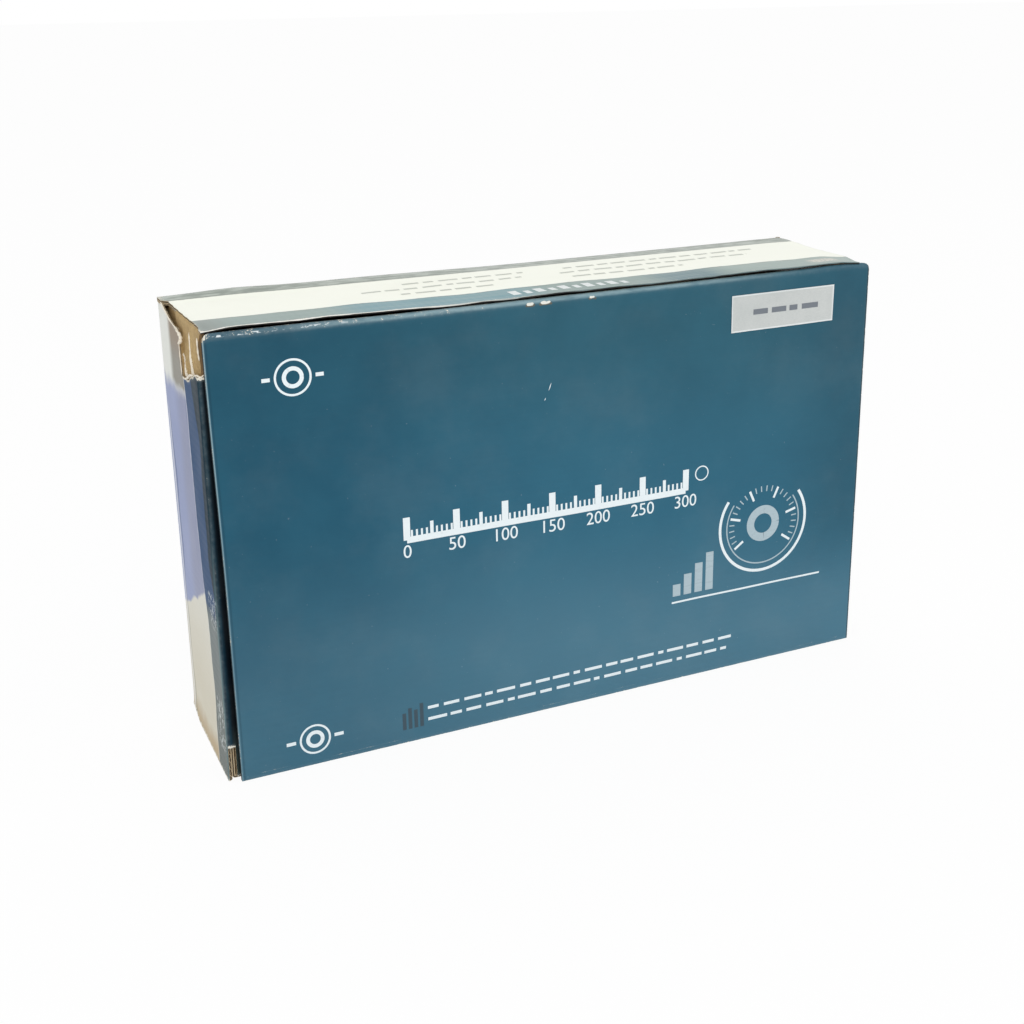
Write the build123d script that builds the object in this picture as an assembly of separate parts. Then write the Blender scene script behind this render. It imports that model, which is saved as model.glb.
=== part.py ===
"""Boxed aneroid sphygmomanometer.

A printed corrugated mailer carton stands on its hinge side. Its lid faces -Y and swings down about the
bottom front edge. Inside are a card insert, a palm gauge with its bulb and release valve, a coiled hose,
a rolled arm cuff, a zipped pouch and a folded leaflet. Sizes are in millimetres. X runs to the right,
Y to the back, Z up, and the origin is the middle of the base, on the surface that the carton stands on.
"""

import math
import os

from build123d import *

# Carton, measured outside
carton_width = 245.0
carton_depth = 57.0
carton_height = 150.0
board = 1.4
carton_play = 0.3
corner_round = 1.1
wall_layer_count = 3

# Lid and its flaps
lid_left_margin = 3.2
lid_right_margin = 0.3
lid_corner_radius = 2.5
hinge_play = 0.15
tuck_length = 24.0
tuck_slope = 9.0
tuck_side_margin = 5.0
tuck_taper = 7.0
ear_length = 26.0
ear_slope = 5.0
ear_bottom = 13.0
ear_top_margin = 14.0
ear_taper = 12.0

# Corner flaps, notches and locking tabs of the side walls
flap_height = 38.0
torn_height = 15.0
torn_depth = 22.0
hinge_notch_height = 12.0
hinge_notch_depth = 2.0
lip_sink = 0.35
tab_width = 24.0
tab_spacing = 76.0

# Label on the lid
label_width = 43.1
label_height = 13.1
label_thick = 0.12
label_right_margin = 15.5
label_top_margin = 7.8

# Card insert that holds the instrument
card = 1.0
insert_left_margin = 9.5
deck_left_margin = 2.0
deck_right_margin = 5.8
nest_play = 0.3
knob_window_play = 1.0

# Rolled arm cuff. Its roll takes as many half turns as fit round a core of the least radius
cuff_head_room = 6.9
cuff_front_room = 4.8
cuff_thick = 3.7
cuff_turn_gap = 0.4
cuff_least_core = 3.0
cuff_right_margin = 8.8
bladder_thick = 1.5
bladder_width = 120.0
bladder_half_turns = 4
pocket_play = 0.1
hook_thick = 0.8
hook_margin = 12.0
hook_height = 58.0
hook_width = 38.2
port_flange_radius = 7.0
port_flange_thick = 1.2
port_length = 9.0

# Instrument axis, which runs along X from the bulb to the gauge, and its fits
axis_height = 42.0
fit_play = 0.05
through = 1.0

# Hose
hose_radius = 4.0
hose_bore = 2.3
hose_deck_gap = 0.8
hose_layer_gap = 0.6
hose_port_margin = 11.7
hose_left_margin = 10.0
hose_right_margin = 15.3
hose_side_straight = 2.0
hose_drop_straight = 1.0
hose_drop_radius = 20.0
tie_thick = 0.5
tie_width = 9.0
tie_distance = 73.0

# Valve block
block_radius = 8.0
block_length = 15.5
spigot_radius = 6.0
spigot_length = 9.0
air_bore = 1.6
ball_radius = 2.3
ball_travel = 0.8
seat_wall = 0.8
cage_play = 0.3
cage_wall = 1.2
air_slot = 1.0
nipple_distance = 8.0
nipple_boss_radius = 4.4
nipple_boss_height = 2.0
nipple_length = 11.0
release_boss_radius = 6.0
release_boss_length = 9.0
spindle_radius = 2.5
spindle_length = 20.5
spindle_travel = 0.8
needle_length = 5.0
needle_tip = 0.4
knob_radius = 7.0
knob_height = 14.0
knob_floor = 3.0
knob_round = 0.6
knurl_count = 30
knurl_radius = 0.4
knurl_margin = 0.8
ring_section = 0.6

# Bulb, with the places and shares of its full radius along its swell
bulb_front_room = 3.1
bulb_back_room = 0.3
bulb_wall = 2.2
bulb_neck_radius = 8.4
bulb_tail_radius = 7.4
bulb_neck_length = 8.0
bulb_swell_shares = ((0.22, 0.80), (0.50, 1.0), (0.78, 0.86))
bulb_neck_slope = 0.25
bulb_tail_slope = -0.9
end_valve_radius = 5.0
end_flange_radius = 6.6
end_flange_length = 5.0
screen_wall = 1.2
screen_thick = 0.6
screen_hole_radius = 0.45
screen_inner_ring = 1.3
screen_outer_ring = 3.0
screen_inner_count = 6
screen_outer_count = 12

# Gauge
gauge_case_radius = 27.0
gauge_wall = 1.2
gauge_back = 5.5
rim_gap = 1.5
stem_radius = 3.2
stem_reach = 7.0
stem_seat = 4.0
stem_pad_wall = 2.4
nut_across_flats = 9.0
nut_thick = 3.2
bezel_overhang = 2.0
bezel_lip = 2.4
bezel_skirt = 7.0
lens_thick = 1.8
gasket_thick = 0.4

# Gauge movement, stacked from the capsule at the back to the pointer at the front
capsule_radius = 18.0
capsule_thick = 5.4
capsule_skin = 0.3
capsule_groove = 0.9
capsule_wave_count = 3
feed_radius = 1.2
feed_bore = 0.6
push_stud_radius = 1.0
push_stud_length = 1.3
push_foot_radius = 2.5
plate_thick = 0.8
plate_play = 0.2
pillar_radius = 1.3
pillar_circle = 15.5
pillar_angles = (95.0, 200.0, 318.0)
screw_head_radius = 2.0
screw_head_height = 0.9
screw_slot = 0.5
gear_module = 0.25
pinion_teeth = 10
sector_full_teeth = 100
sector_teeth = 13
sector_lead_teeth = 2
tooth_share = 0.33
gear_thick = 1.2
gear_gap = 1.8
pinion_extra = 0.4
arbor_radius = 0.5
pivot_play = 0.05
sector_pivot_angle = 28.2
sector_hub_radius = 2.0
sector_rim = 2.2
sector_arbor_radius = 0.7
tail_length = 4.2
tail_thick = 1.9
rocker_lever = 5.0
rocker_shaft_radius = 0.7
rocker_setback = 1.45
rocker_arm_thick = 0.6
rocker_arm_width = 1.6
finger_width = 0.8
rocker_reach = 2.5
bracket_thick = 1.1
contact_gap = 0.2
spring_turns = 4
spring_pitch = 0.8
spring_strip = 0.16
spring_height = 0.5
spring_gap = 0.5
collet_radius = 1.3

# Dial and pointer
dial_play = 0.5
dial_gap = 0.2
dial_thick = 0.5
dial_bore = 0.65
dial_post_radius = 1.3
dial_screw_radius = 0.65
dial_screw_head = 0.45
dial_screw_place = 19.0
dial_screw_tilt = 20.0
zero_angle = 150.0
pointer_length = 20.0
pointer_point = 2.8
pointer_tail = 7.0
pointer_root = 1.6
pointer_width = 1.3
pointer_thick = 0.4
pointer_gap = 1.3
pointer_hub_radius = 1.8
pointer_hub_height = 1.6

# Pouch and leaflet
pouch_thick = 7.8
pouch_side_play = 2.0
pouch_head_gap = 1.0
pouch_round = 3.2
zip_tape_height = 5.0
zip_tape_thick = 1.0
zip_teeth_thick = 2.0
zip_teeth_height = 2.4
zip_end_margin = 12.0
slider_length = 9.0
slider_wall = 1.1
leaflet_left_play = 2.0
leaflet_right_play = 17.3
leaflet_height = 105.0
leaflet_thick = 1.4

# Planes of the carton
half_width = carton_width / 2
front = -carton_depth / 2
back = carton_depth / 2
lid_back = front + board
inner_half = half_width - wall_layer_count * board
back_inside = back - board
floor_inside = board
lid_left = -half_width + lid_left_margin
lid_right = half_width - lid_right_margin
lid_top = carton_height - board - carton_play
ear_face = inner_half - carton_play
roll_front = lid_back + carton_play
roll_back = roll_front + board

# Places of the contents
stand_height = floor_inside + carton_play
cuff_width = carton_height - board - cuff_head_room - stand_height
cuff_pitch = cuff_thick + cuff_turn_gap
cuff_radius = (back_inside - lid_back - carton_play - cuff_front_room) / 2
cuff_half_turns = 1 + math.floor((cuff_radius - cuff_thick / 2 - cuff_least_core) / (cuff_pitch / 2))
cuff_core_radius = cuff_radius - cuff_thick / 2 - (cuff_half_turns - 1) * cuff_pitch / 2
cuff_x = half_width - cuff_right_margin - cuff_radius
cuff_y = back_inside - carton_play - (cuff_radius - cuff_pitch / 2)
insert_left = -half_width + insert_left_margin
insert_right = cuff_x - cuff_radius - carton_play
pouch_back = back_inside - carton_play
pouch_front = pouch_back - pouch_thick
pouch_left = insert_left + card + pouch_side_play
pouch_right = insert_right - card - pouch_side_play
pouch_height = cuff_width - zip_tape_height - pouch_head_gap
leaflet_left = pouch_left + leaflet_left_play
leaflet_right = pouch_right - leaflet_right_play
leaflet_back = pouch_front - carton_play
leaflet_front = leaflet_back - leaflet_thick
bulb_radius = (leaflet_front - bulb_back_room - lid_back - bulb_front_room) / 2
axis_y = leaflet_front - bulb_back_room - bulb_radius
deck_front = axis_y + hose_radius + hose_deck_gap

# Places along the instrument
gauge_centre_x = insert_right - deck_right_margin - gauge_case_radius
block_right = gauge_centre_x - gauge_case_radius - stem_reach
block_left = block_right - block_length
nipple_place = block_left + nipple_distance
end_flange_left = insert_left + deck_left_margin
bulb_left = end_flange_left + end_flange_length
bulb_length = block_left - bulb_left
spigot_left = block_left - spigot_length
nipple_base = axis_height + block_radius + nipple_boss_height
nipple_end = nipple_base + nipple_length
release_end = axis_height - block_radius - release_boss_length
spindle_hole_top = axis_height - air_bore - needle_length
spindle_top = spindle_hole_top - fit_play
spindle_bottom = spindle_top - spindle_length
knob_low = spindle_bottom - knob_floor
cage_radius = ball_radius + cage_play
ball_rest = math.sqrt(ball_radius**2 - air_bore**2) + fit_play
cage_length = ball_rest + ball_radius + ball_travel + cage_play

# Turns of the hose
hose_front_y = axis_y - 2 * hose_radius - hose_layer_gap
hose_high_run = stand_height + cuff_width - hose_port_margin
hose_low_run = nipple_end + hose_drop_straight + hose_drop_radius
hose_turn_radius = (hose_high_run - hose_low_run - hose_side_straight) / 2
hose_left_turn = insert_left + hose_left_margin
hose_right_turn = insert_right - hose_right_margin
port_flange_round = cuff_radius + fit_play + port_flange_thick
port_mouth = cuff_x - math.sqrt(port_flange_round**2 - (cuff_y - hose_front_y - hose_radius) ** 2) - fit_play

# Planes of the gauge, from its back to its front, and the pivots of its movement
case_left = gauge_centre_x - gauge_case_radius
case_bore = gauge_case_radius - gauge_wall
bezel_radius = gauge_case_radius + bezel_overhang
dial_radius = case_bore - dial_play
case_back = axis_y + gauge_back
capsule_back = case_back - gauge_wall
capsule_middle = capsule_back - capsule_thick / 2
stud_front = capsule_back - capsule_thick - fit_play - push_stud_length
shaft_y = stud_front - rocker_setback
base_back = shaft_y - 2 * rocker_shaft_radius
base_front = base_back - plate_thick
spring_back = base_front - spring_gap
gear_back = base_front - gear_gap
gear_front = gear_back - gear_thick
top_back = gear_front - gear_gap
top_front = top_back - plate_thick
dial_back = top_front - screw_head_height - dial_gap
dial_front = dial_back - dial_thick
pointer_back = dial_front - pointer_gap
gauge_rim = pointer_back - pointer_thick - rim_gap
lens_back = gauge_rim - gasket_thick - 2 * fit_play
lens_front = lens_back - lens_thick
pinion_pitch_radius = gear_module * pinion_teeth / 2
sector_pitch_radius = gear_module * sector_full_teeth / 2
gear_distance = pinion_pitch_radius + sector_pitch_radius
sector_x = gauge_centre_x + gear_distance * math.cos(math.radians(sector_pivot_angle))
sector_z = axis_height + gear_distance * math.sin(math.radians(sector_pivot_angle))
finger_x = sector_x + rocker_reach
shaft_z = axis_height + rocker_lever

parts = {}


def block(x_span, y_span, z_span):
    """A box between two values along each axis."""
    spans = (x_span, y_span, z_span)
    middle = [sum(span) / 2 for span in spans]
    size = [abs(span[1] - span[0]) for span in spans]
    return Pos(*middle) * Box(*size)


def rod_x(radius, x_start, x_end, y=axis_y, z=axis_height):
    """A round bar along X."""
    length = abs(x_end - x_start)
    return Pos((x_start + x_end) / 2, y, z) * Rot(0, 90, 0) * Cylinder(radius, length)


def rod_y(radius, y_start, y_end, x=gauge_centre_x, z=axis_height):
    """A round bar along Y."""
    length = abs(y_end - y_start)
    return Pos(x, (y_start + y_end) / 2, z) * Rot(90, 0, 0) * Cylinder(radius, length)


def rod_z(radius, z_start, z_end, x=nipple_place, y=axis_y):
    """A round bar along Z."""
    length = abs(z_end - z_start)
    return Pos(x, y, (z_start + z_end) / 2) * Cylinder(radius, length)


def plate_xz(outline, y_start, y_end):
    """A flat plate drawn by (x, z) points and running from y_start to y_end."""
    face = make_face(Polyline([(x, y_start, z) for x, z in outline], close=True))
    return extrude(face, amount=y_end - y_start, dir=(0, 1, 0))


def polar(radius, angle, x=0.0, z=0.0):
    """The (x, z) point at a radius and an angle in degrees, counter-clockwise as seen from the front."""
    return x + radius * math.cos(math.radians(angle)), z + radius * math.sin(math.radians(angle))


def make_side_wall(name, side):
    """A side wall of three layers: the outer wall, its rolled front edge and the inner wall with two tabs."""
    height = (0, carton_height)
    between = (board, carton_height - board)
    outside, inside = side * half_width, side * inner_half
    layer_face = side * (inner_half + board)
    outer = block((outside, side * (half_width - board)), (roll_front, back), height)
    roll = block((outside, inside), (roll_front, roll_back), between)
    inner = block((layer_face, inside), (roll_front, back_inside), between)
    wall = outer + roll + inner
    front_edges = wall.edges().filter_by(Axis.Z).group_by(Axis.Y)[0]
    wall = fillet(front_edges.group_by(Axis.X)[0 if side < 0 else -1], corner_round)

    notches = [(0, hinge_notch_height, hinge_notch_depth)]
    if name == "left":
        notches.append((carton_height - torn_height, carton_height, torn_depth))
    for low, high, depth in notches:
        past_outside = side * (half_width + through)
        past_front = roll_front - through
        wall -= block((past_outside, side * (half_width - board)), (past_front, roll_front + depth), (low, high))
        wall -= block((past_outside, layer_face), (past_front, roll_back), (low, high))
    for z in tab_centres():
        wall += block((layer_face, inside), (back_inside, back), (z - tab_width / 2, z + tab_width / 2))
    parts[f"{name}_wall"] = wall


def tab_centres():
    """Heights of the two locking tabs."""
    return carton_height / 2 - tab_spacing / 2, carton_height / 2 + tab_spacing / 2


def make_tray():
    """The folded tray: back, hinge side, top, two rolled side walls and four corner flaps."""
    outer_half = half_width - board
    panel = block((-outer_half, outer_half), (back_inside, back), (0, carton_height))
    for side in (-1, 1):
        for z in tab_centres():
            panel -= block(
                (side * inner_half, side * (inner_half + board)),
                (back_inside - through, back + through),
                (z - tab_width / 2, z + tab_width / 2),
            )
    parts["back_panel"] = panel

    ends = (-inner_half, inner_half)
    parts["bottom_wall"] = block(ends, (lid_back + hinge_play, back_inside), (0, board))
    parts["top_wall"] = block(ends, (front + carton_play, back_inside), (carton_height - board, carton_height))
    for name, side in (("left", -1), ("right", 1)):
        make_side_wall(name, side)
        for row, edge, up in (("bottom", 0, 1), ("top", carton_height, -1)):
            low = edge + up * lip_sink
            depth = (roll_back, back_inside)
            plate = block((side * outer_half, side * (inner_half + board)), depth, (low, edge + up * flap_height))
            lip = block((side * outer_half, side * inner_half), depth, (low, edge + up * board))
            parts[f"{row}_{name}_corner_flap"] = plate + lip


def make_lid():
    """The lid panel with its tuck flap, two ears and the label."""
    panel = block((lid_left, lid_right), (front, lid_back), (hinge_play, lid_top))
    top_corners = panel.edges().filter_by(Axis.Y).group_by(Axis.Z)[-1]
    parts["lid_panel"] = fillet(top_corners, lid_corner_radius)

    slope = math.radians(tuck_slope)
    left, right = tuck_side_margin - ear_face, ear_face - tuck_side_margin
    outline = [
        (left, 0, 0),
        (right, 0, 0),
        (right - tuck_taper, tuck_length, 0),
        (left + tuck_taper, tuck_length, 0),
    ]
    flap = extrude(make_face(Polyline(outline, close=True)), amount=-board)
    flap = fillet(flap.edges().filter_by(Axis.Z).group_by(Axis.Y)[-1], tuck_taper)
    root = hinge_play / math.cos(slope) + board * math.tan(slope)
    parts["tuck_flap"] = Pos(0, lid_back, lid_top) * Rot(-tuck_slope, 0, 0) * Pos(0, root, 0) * flap

    low, high = ear_bottom, lid_top - ear_top_margin
    outline = [(0, 0, low), (0, ear_length, low + ear_taper), (0, ear_length, high - ear_taper), (0, 0, high)]
    root = hinge_play + board * math.tan(math.radians(ear_slope))
    for name, side in (("left", 1), ("right", -1)):
        ear = extrude(make_face(Polyline(outline, close=True)), amount=side * board, dir=(1, 0, 0))
        ear = fillet(ear.edges().filter_by(Axis.X).group_by(Axis.Y)[-1], ear_taper / 2)
        hung = Pos(-side * ear_face, lid_back, 0) * Rot(0, 0, -side * ear_slope)
        parts[f"{name}_ear"] = hung * Pos(0, root, 0) * ear

    label_right = half_width - label_right_margin
    label_top = carton_height - label_top_margin
    parts["front_label"] = block(
        (label_right - label_width, label_right), (front - label_thick, front), (label_top - label_height, label_top)
    )


def bulb_solid(shrink, neck, tail, end_extra=0.0):
    """The bulb's outside shape, or its hollow when shrink is the wall."""
    swell_length = bulb_length - 2 * bulb_neck_length
    swell = [(bulb_neck_length + place * swell_length, bulb_radius * share - shrink) for place, share in bulb_swell_shares]
    neck_end, tail_end = (-end_extra, neck), (bulb_length + end_extra, tail)
    swell_start, swell_end = (bulb_neck_length, neck), (bulb_length - bulb_neck_length, tail)
    slopes = [(1, bulb_neck_slope), (1, bulb_tail_slope)]
    outline = [
        Line((neck_end[0], 0), neck_end),
        Line(neck_end, swell_start),
        Spline([swell_start, *swell, swell_end], tangents=slopes),
        Line(swell_end, tail_end),
        Line(tail_end, (tail_end[0], 0)),
        Line((tail_end[0], 0), (neck_end[0], 0)),
    ]
    turned = revolve(make_face(outline), axis=Axis.X)
    return Pos(block_left, axis_y, axis_height) * Rot(0, 0, 180) * turned


def ball_cage(seat):
    """The hollow that a check ball moves in, from its seat to the right, with crossed air slots past it."""
    end = seat + cage_length
    hollow = rod_x(cage_radius, seat, end)
    for half_y, half_z in ((air_slot / 2, cage_radius), (cage_radius, air_slot / 2)):
        hollow += block(
            (end - cage_play, end + cage_wall),
            (axis_y - half_y, axis_y + half_y),
            (axis_height - half_z, axis_height + half_z),
        )
    return hollow


def check_ball(seat):
    """A check ball that closes the air bore at its seat."""
    return Pos(seat + ball_rest, axis_y, axis_height) * Sphere(ball_radius)


def make_bulb():
    """The rubber bulb and the inlet valve in its far end."""
    outside = bulb_solid(0, bulb_neck_radius, bulb_tail_radius)
    hollow = bulb_solid(bulb_wall, spigot_radius + fit_play, end_valve_radius + fit_play, end_extra=through)
    parts["inflation_bulb"] = outside - hollow

    plug_right = bulb_left + cage_length + cage_wall
    plug = rod_x(end_flange_radius, end_flange_left, bulb_left) + rod_x(end_valve_radius, bulb_left, plug_right)
    screen_right = end_flange_left + screen_thick
    screen_radius = end_flange_radius - screen_wall
    plug -= rod_x(air_bore, end_flange_left - through, plug_right + through)
    plug -= rod_x(screen_radius, end_flange_left - through, screen_right)
    parts["inlet_valve_body"] = plug - ball_cage(bulb_left)
    parts["inlet_ball"] = check_ball(bulb_left)
    screen = rod_x(screen_radius - fit_play, end_flange_left, screen_right)
    for ring, count in ((screen_inner_ring, screen_inner_count), (screen_outer_ring, screen_outer_count)):
        for step in range(count):
            y, z = polar(ring, 360 * step / count, axis_y, axis_height)
            screen -= rod_x(screen_hole_radius, end_flange_left - through, screen_right + through, y, z)
    parts["inlet_screen"] = screen


def make_valve():
    """The valve block with its outlet ball, hose nipple, release spindle and knob."""
    body = rod_x(block_radius, block_left, block_right) + rod_x(spigot_radius, spigot_left, block_left)
    body += rod_z(nipple_boss_radius, axis_height, nipple_base)
    body += rod_z(hose_bore - fit_play, nipple_base, nipple_end)
    body += rod_z(release_boss_radius, release_end, axis_height)
    body -= rod_x(air_bore, spigot_left - through, block_right + through)
    body -= ball_cage(spigot_left + seat_wall)
    body -= rod_x(stem_radius + fit_play, block_right - stem_seat, block_right + through)
    body -= rod_z(hose_bore / 2, axis_height, nipple_end + through)
    body -= rod_z(air_bore, spindle_hole_top, axis_height)
    body -= rod_z(spindle_radius + fit_play, release_end - through, spindle_hole_top)
    parts["valve_block"] = body
    parts["outlet_ball"] = check_ball(spigot_left + seat_wall)

    groove = spindle_top - 3 * ring_section
    groove_half = ring_section + fit_play
    spindle = rod_z(spindle_radius, spindle_bottom, spindle_top)
    ring_groove = rod_z(spindle_radius + through, groove - groove_half, groove + groove_half)
    ring_groove -= rod_z(spindle_radius - 2 * ring_section, groove - 2 * groove_half, groove + 2 * groove_half)
    needle = Cone(air_bore - cage_play, needle_tip, needle_length)
    needle = Pos(nipple_place, axis_y, spindle_top + needle_length / 2) * needle
    parts["valve_spindle"] = spindle - ring_groove + needle
    parts["spindle_ring"] = Pos(nipple_place, axis_y, groove) * Torus(spindle_radius - ring_section, ring_section)

    knob_high = knob_low + knob_height
    knob = rod_z(knob_radius, knob_low, knob_high)
    knob = fillet(knob.edges().filter_by(GeomType.CIRCLE), knob_round)
    knob -= rod_z(spindle_radius + fit_play, spindle_bottom - fit_play, knob_high + through)
    knob -= rod_z(release_boss_radius + cage_play, release_end - 2 * spindle_travel, knob_high + through)
    for step in range(knurl_count):
        x, y = polar(knob_radius, 360 * step / knurl_count, nipple_place, axis_y)
        knob -= rod_z(knurl_radius, knob_low + knurl_margin, knob_high - knurl_margin, x, y)
    parts["valve_knob"] = knob


def make_gauge_housing():
    """The gauge's case, stem, nut, gasket, lens and bezel."""
    case = rod_y(gauge_case_radius, case_back, gauge_rim)
    case = fillet(case.edges().filter_by(GeomType.CIRCLE).sort_by(Axis.Y)[-1:], gauge_wall)
    pad = rod_x(stem_radius + stem_pad_wall, case_left - gauge_wall, case_left + 2 * gauge_wall)
    case += pad & block(
        (case_left - gauge_wall, case_left + 2 * gauge_wall), (gauge_rim, case_back), (0, carton_height)
    )
    case -= rod_y(case_bore, capsule_back, gauge_rim - through)
    stem_end = case_left + 2 * gauge_wall
    case -= rod_x(stem_radius + fit_play, case_left - 2 * gauge_wall, stem_end + through)
    parts["gauge_case"] = case

    stem = rod_x(stem_radius, block_right - stem_seat, stem_end)
    parts["gauge_stem"] = stem - rod_x(feed_radius, block_right - stem_seat - through, stem_end + through)
    nut = extrude(RegularPolygon(nut_across_flats / 2, 6, major_radius=False), amount=nut_thick)
    nut -= Cylinder(stem_radius + fit_play, 4 * nut_thick)
    parts["stem_nut"] = Pos(block_right + fit_play, axis_y, axis_height) * Rot(0, 90, 0) * nut

    lens_radius = gauge_case_radius - fit_play
    gasket = rod_y(lens_radius, gauge_rim - fit_play, lens_back + fit_play)
    parts["lens_gasket"] = gasket - rod_y(case_bore, gauge_rim + through, lens_back - through)
    parts["gauge_lens"] = rod_y(lens_radius, lens_back, lens_front)
    bezel_front = lens_front - gauge_wall - fit_play
    bezel_back = bezel_front + bezel_skirt
    bezel = rod_y(bezel_radius, bezel_back, bezel_front)
    bezel = fillet(bezel.edges().filter_by(GeomType.CIRCLE).sort_by(Axis.Y)[:1], gauge_wall)
    bezel -= rod_y(gauge_case_radius + fit_play, bezel_back + through, lens_front - fit_play)
    bezel -= rod_y(gauge_case_radius - bezel_lip, bezel_back, bezel_front - through)
    parts["gauge_bezel"] = bezel


def capsule_profile(skin):
    """Half the capsule's wavy section as (radius, height) points, drawn in by a skin."""
    waves = 2 * capsule_wave_count
    crest = capsule_thick / 2 - skin
    points = [(capsule_radius - 2 * skin, 0.0)]
    for step in range(1, waves + 1):
        radius = capsule_radius * (1 - step / (waves + 2))
        points.append((radius, crest - (capsule_groove if step % 2 == 0 and step < waves else 0)))
    points.append((0.0, crest))
    return points


def capsule_solid(skin):
    """The capsule's outside, or its hollow when skin is the thickness of its sheet."""
    upper = capsule_profile(skin)
    lower = [(radius, -height) for radius, height in reversed(upper[1:])]
    outline = [(radius, height, 0) for radius, height in upper + lower]
    turned = revolve(make_face(Polyline(outline, close=True)), axis=Axis.Y)
    return Pos(gauge_centre_x, capsule_middle, axis_height) * turned


def make_capsule():
    """The sealed metal capsule that swells with the air, its feed tube and the stud that it pushes."""
    feed_left = case_left + 2 * gauge_wall + fit_play
    feed_right = gauge_centre_x - capsule_radius + 3 * capsule_skin
    capsule = capsule_solid(0) - capsule_solid(capsule_skin)
    parts["capsule"] = capsule - rod_x(feed_radius + fit_play, feed_left, feed_right + through, capsule_middle)
    feed = rod_x(feed_radius, feed_left, feed_right, capsule_middle)
    feed -= rod_x(feed_bore, feed_left - through, feed_right + through, capsule_middle)
    parts["capsule_feed_tube"] = feed
    stud_back = stud_front + push_stud_length
    foot = rod_y(push_foot_radius, stud_back, stud_back - capsule_skin)
    parts["push_stud"] = foot + rod_y(push_stud_radius, stud_back, stud_front)


def make_plates():
    """The two plates of the movement, with their pillars and screws."""
    base = rod_y(case_bore - plate_play, base_back, base_front)
    pivot_end = base_front + plate_thick / 2
    base -= rod_y(arbor_radius + pivot_play, base_front - through, pivot_end)
    base -= rod_y(sector_arbor_radius + pivot_play, base_front - through, pivot_end, sector_x, sector_z)
    base -= block(
        (finger_x - rocker_arm_width, finger_x + rocker_arm_width),
        (base_back + through, base_front - through),
        (shaft_z - 2 * rocker_arm_thick, shaft_z + 3 * rocker_arm_thick),
    )
    parts["base_plate"] = base

    top_radius = pillar_circle + 2 * pillar_radius
    top = rod_y(top_radius, top_back, top_front)
    top -= rod_y(arbor_radius + pivot_play, top_back + through, top_front - through)
    top -= rod_y(sector_arbor_radius + pivot_play, top_back + through, top_front - through, sector_x, sector_z)
    window = rod_y(pillar_circle - 2 * pillar_radius, top_back + through, top_front - through)
    window &= block(
        (gauge_centre_x - top_radius, gauge_centre_x + collet_radius),
        (top_front - 2 * through, top_back + 2 * through),
        (axis_height - top_radius, axis_height - 2 * collet_radius),
    )
    top -= window
    for side in (-1, 1):
        x, z = dial_screw_centre(side)
        top -= rod_y(dial_post_radius + fit_play, top_back + through, top_front - through, x, z)
    parts["top_plate"] = top

    pillars, screws = [], []
    for angle in pillar_angles:
        x, z = polar(pillar_circle, angle, gauge_centre_x, axis_height)
        pillars.append(rod_y(pillar_radius, base_front, top_back, x, z))
        head_front = top_front - screw_head_height
        slot = block(
            (x - screw_head_radius, x + screw_head_radius),
            (head_front - through, head_front + screw_head_height / 2),
            (z - screw_slot / 2, z + screw_slot / 2),
        )
        screws.append(rod_y(screw_head_radius, top_front, head_front, x, z) - slot)
    parts["movement_pillars"] = Compound(children=pillars)
    parts["movement_screws"] = Compound(children=screws)


def gear_teeth(pitch_radius, teeth, angles):
    """Points of straight-flanked teeth centred on the given angles, as (radius, angle in degrees)."""
    outer = pitch_radius + 0.85 * gear_module
    root = pitch_radius - 1.1 * gear_module
    half = tooth_share * 360 / teeth / 2
    points = []
    for angle in angles:
        points += [(root, angle - 1.35 * half), (outer, angle - 0.5 * half)]
        points += [(outer, angle + 0.5 * half), (root, angle + 1.35 * half)]
    return points


def make_gears():
    """The sector gear, and the pinion with the pointer's arbor and the hairspring's collet."""
    pinion_step = 360 / pinion_teeth
    angles = [sector_pivot_angle + pinion_step * (k + 0.5) for k in range(pinion_teeth)]
    outline = [
        polar(radius, angle, gauge_centre_x, axis_height)
        for radius, angle in gear_teeth(pinion_pitch_radius, pinion_teeth, angles)
    ]
    pinion = plate_xz(outline, gear_front - pinion_extra, gear_back + pinion_extra)
    arbor = rod_y(arbor_radius, base_front + plate_thick / 4, pointer_back - pointer_hub_height / 2)
    collet = rod_y(collet_radius, gear_back + pinion_extra, spring_back)
    parts["pinion_arbor"] = pinion + arbor + collet

    step = 360 / sector_full_teeth
    mesh_angle = sector_pivot_angle + 180
    angles = sorted(mesh_angle - step * (k - sector_lead_teeth) for k in range(sector_teeth))
    rim = gear_teeth(sector_pitch_radius, sector_full_teeth, angles)
    sector = plate_xz([polar(r, a, sector_x, sector_z) for r, a in [(0, 0), *rim]], gear_front, gear_back)
    rim_inside = sector_pitch_radius - sector_rim
    window = [
        (sector_hub_radius + sector_rim / 2, (angles[0] + angles[-1]) / 2),
        (rim_inside, angles[1] + step),
        (rim_inside, angles[-2] - step),
    ]
    window_plate = plate_xz(
        [polar(r, a, sector_x, sector_z) for r, a in window], gear_front - through, gear_back + through
    )
    sector -= window_plate
    sector += rod_y(sector_hub_radius, gear_front, gear_back, sector_x, sector_z)
    tail_low = shaft_z + rocker_arm_thick / 2 + contact_gap
    sector += block((sector_x, sector_x + tail_length), (gear_front, gear_back), (tail_low, tail_low + tail_thick))
    axle_front = top_front + plate_thick / 4
    sector += rod_y(sector_arbor_radius, base_front + plate_thick / 4, axle_front, sector_x, sector_z)
    parts["sector_gear"] = sector


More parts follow.
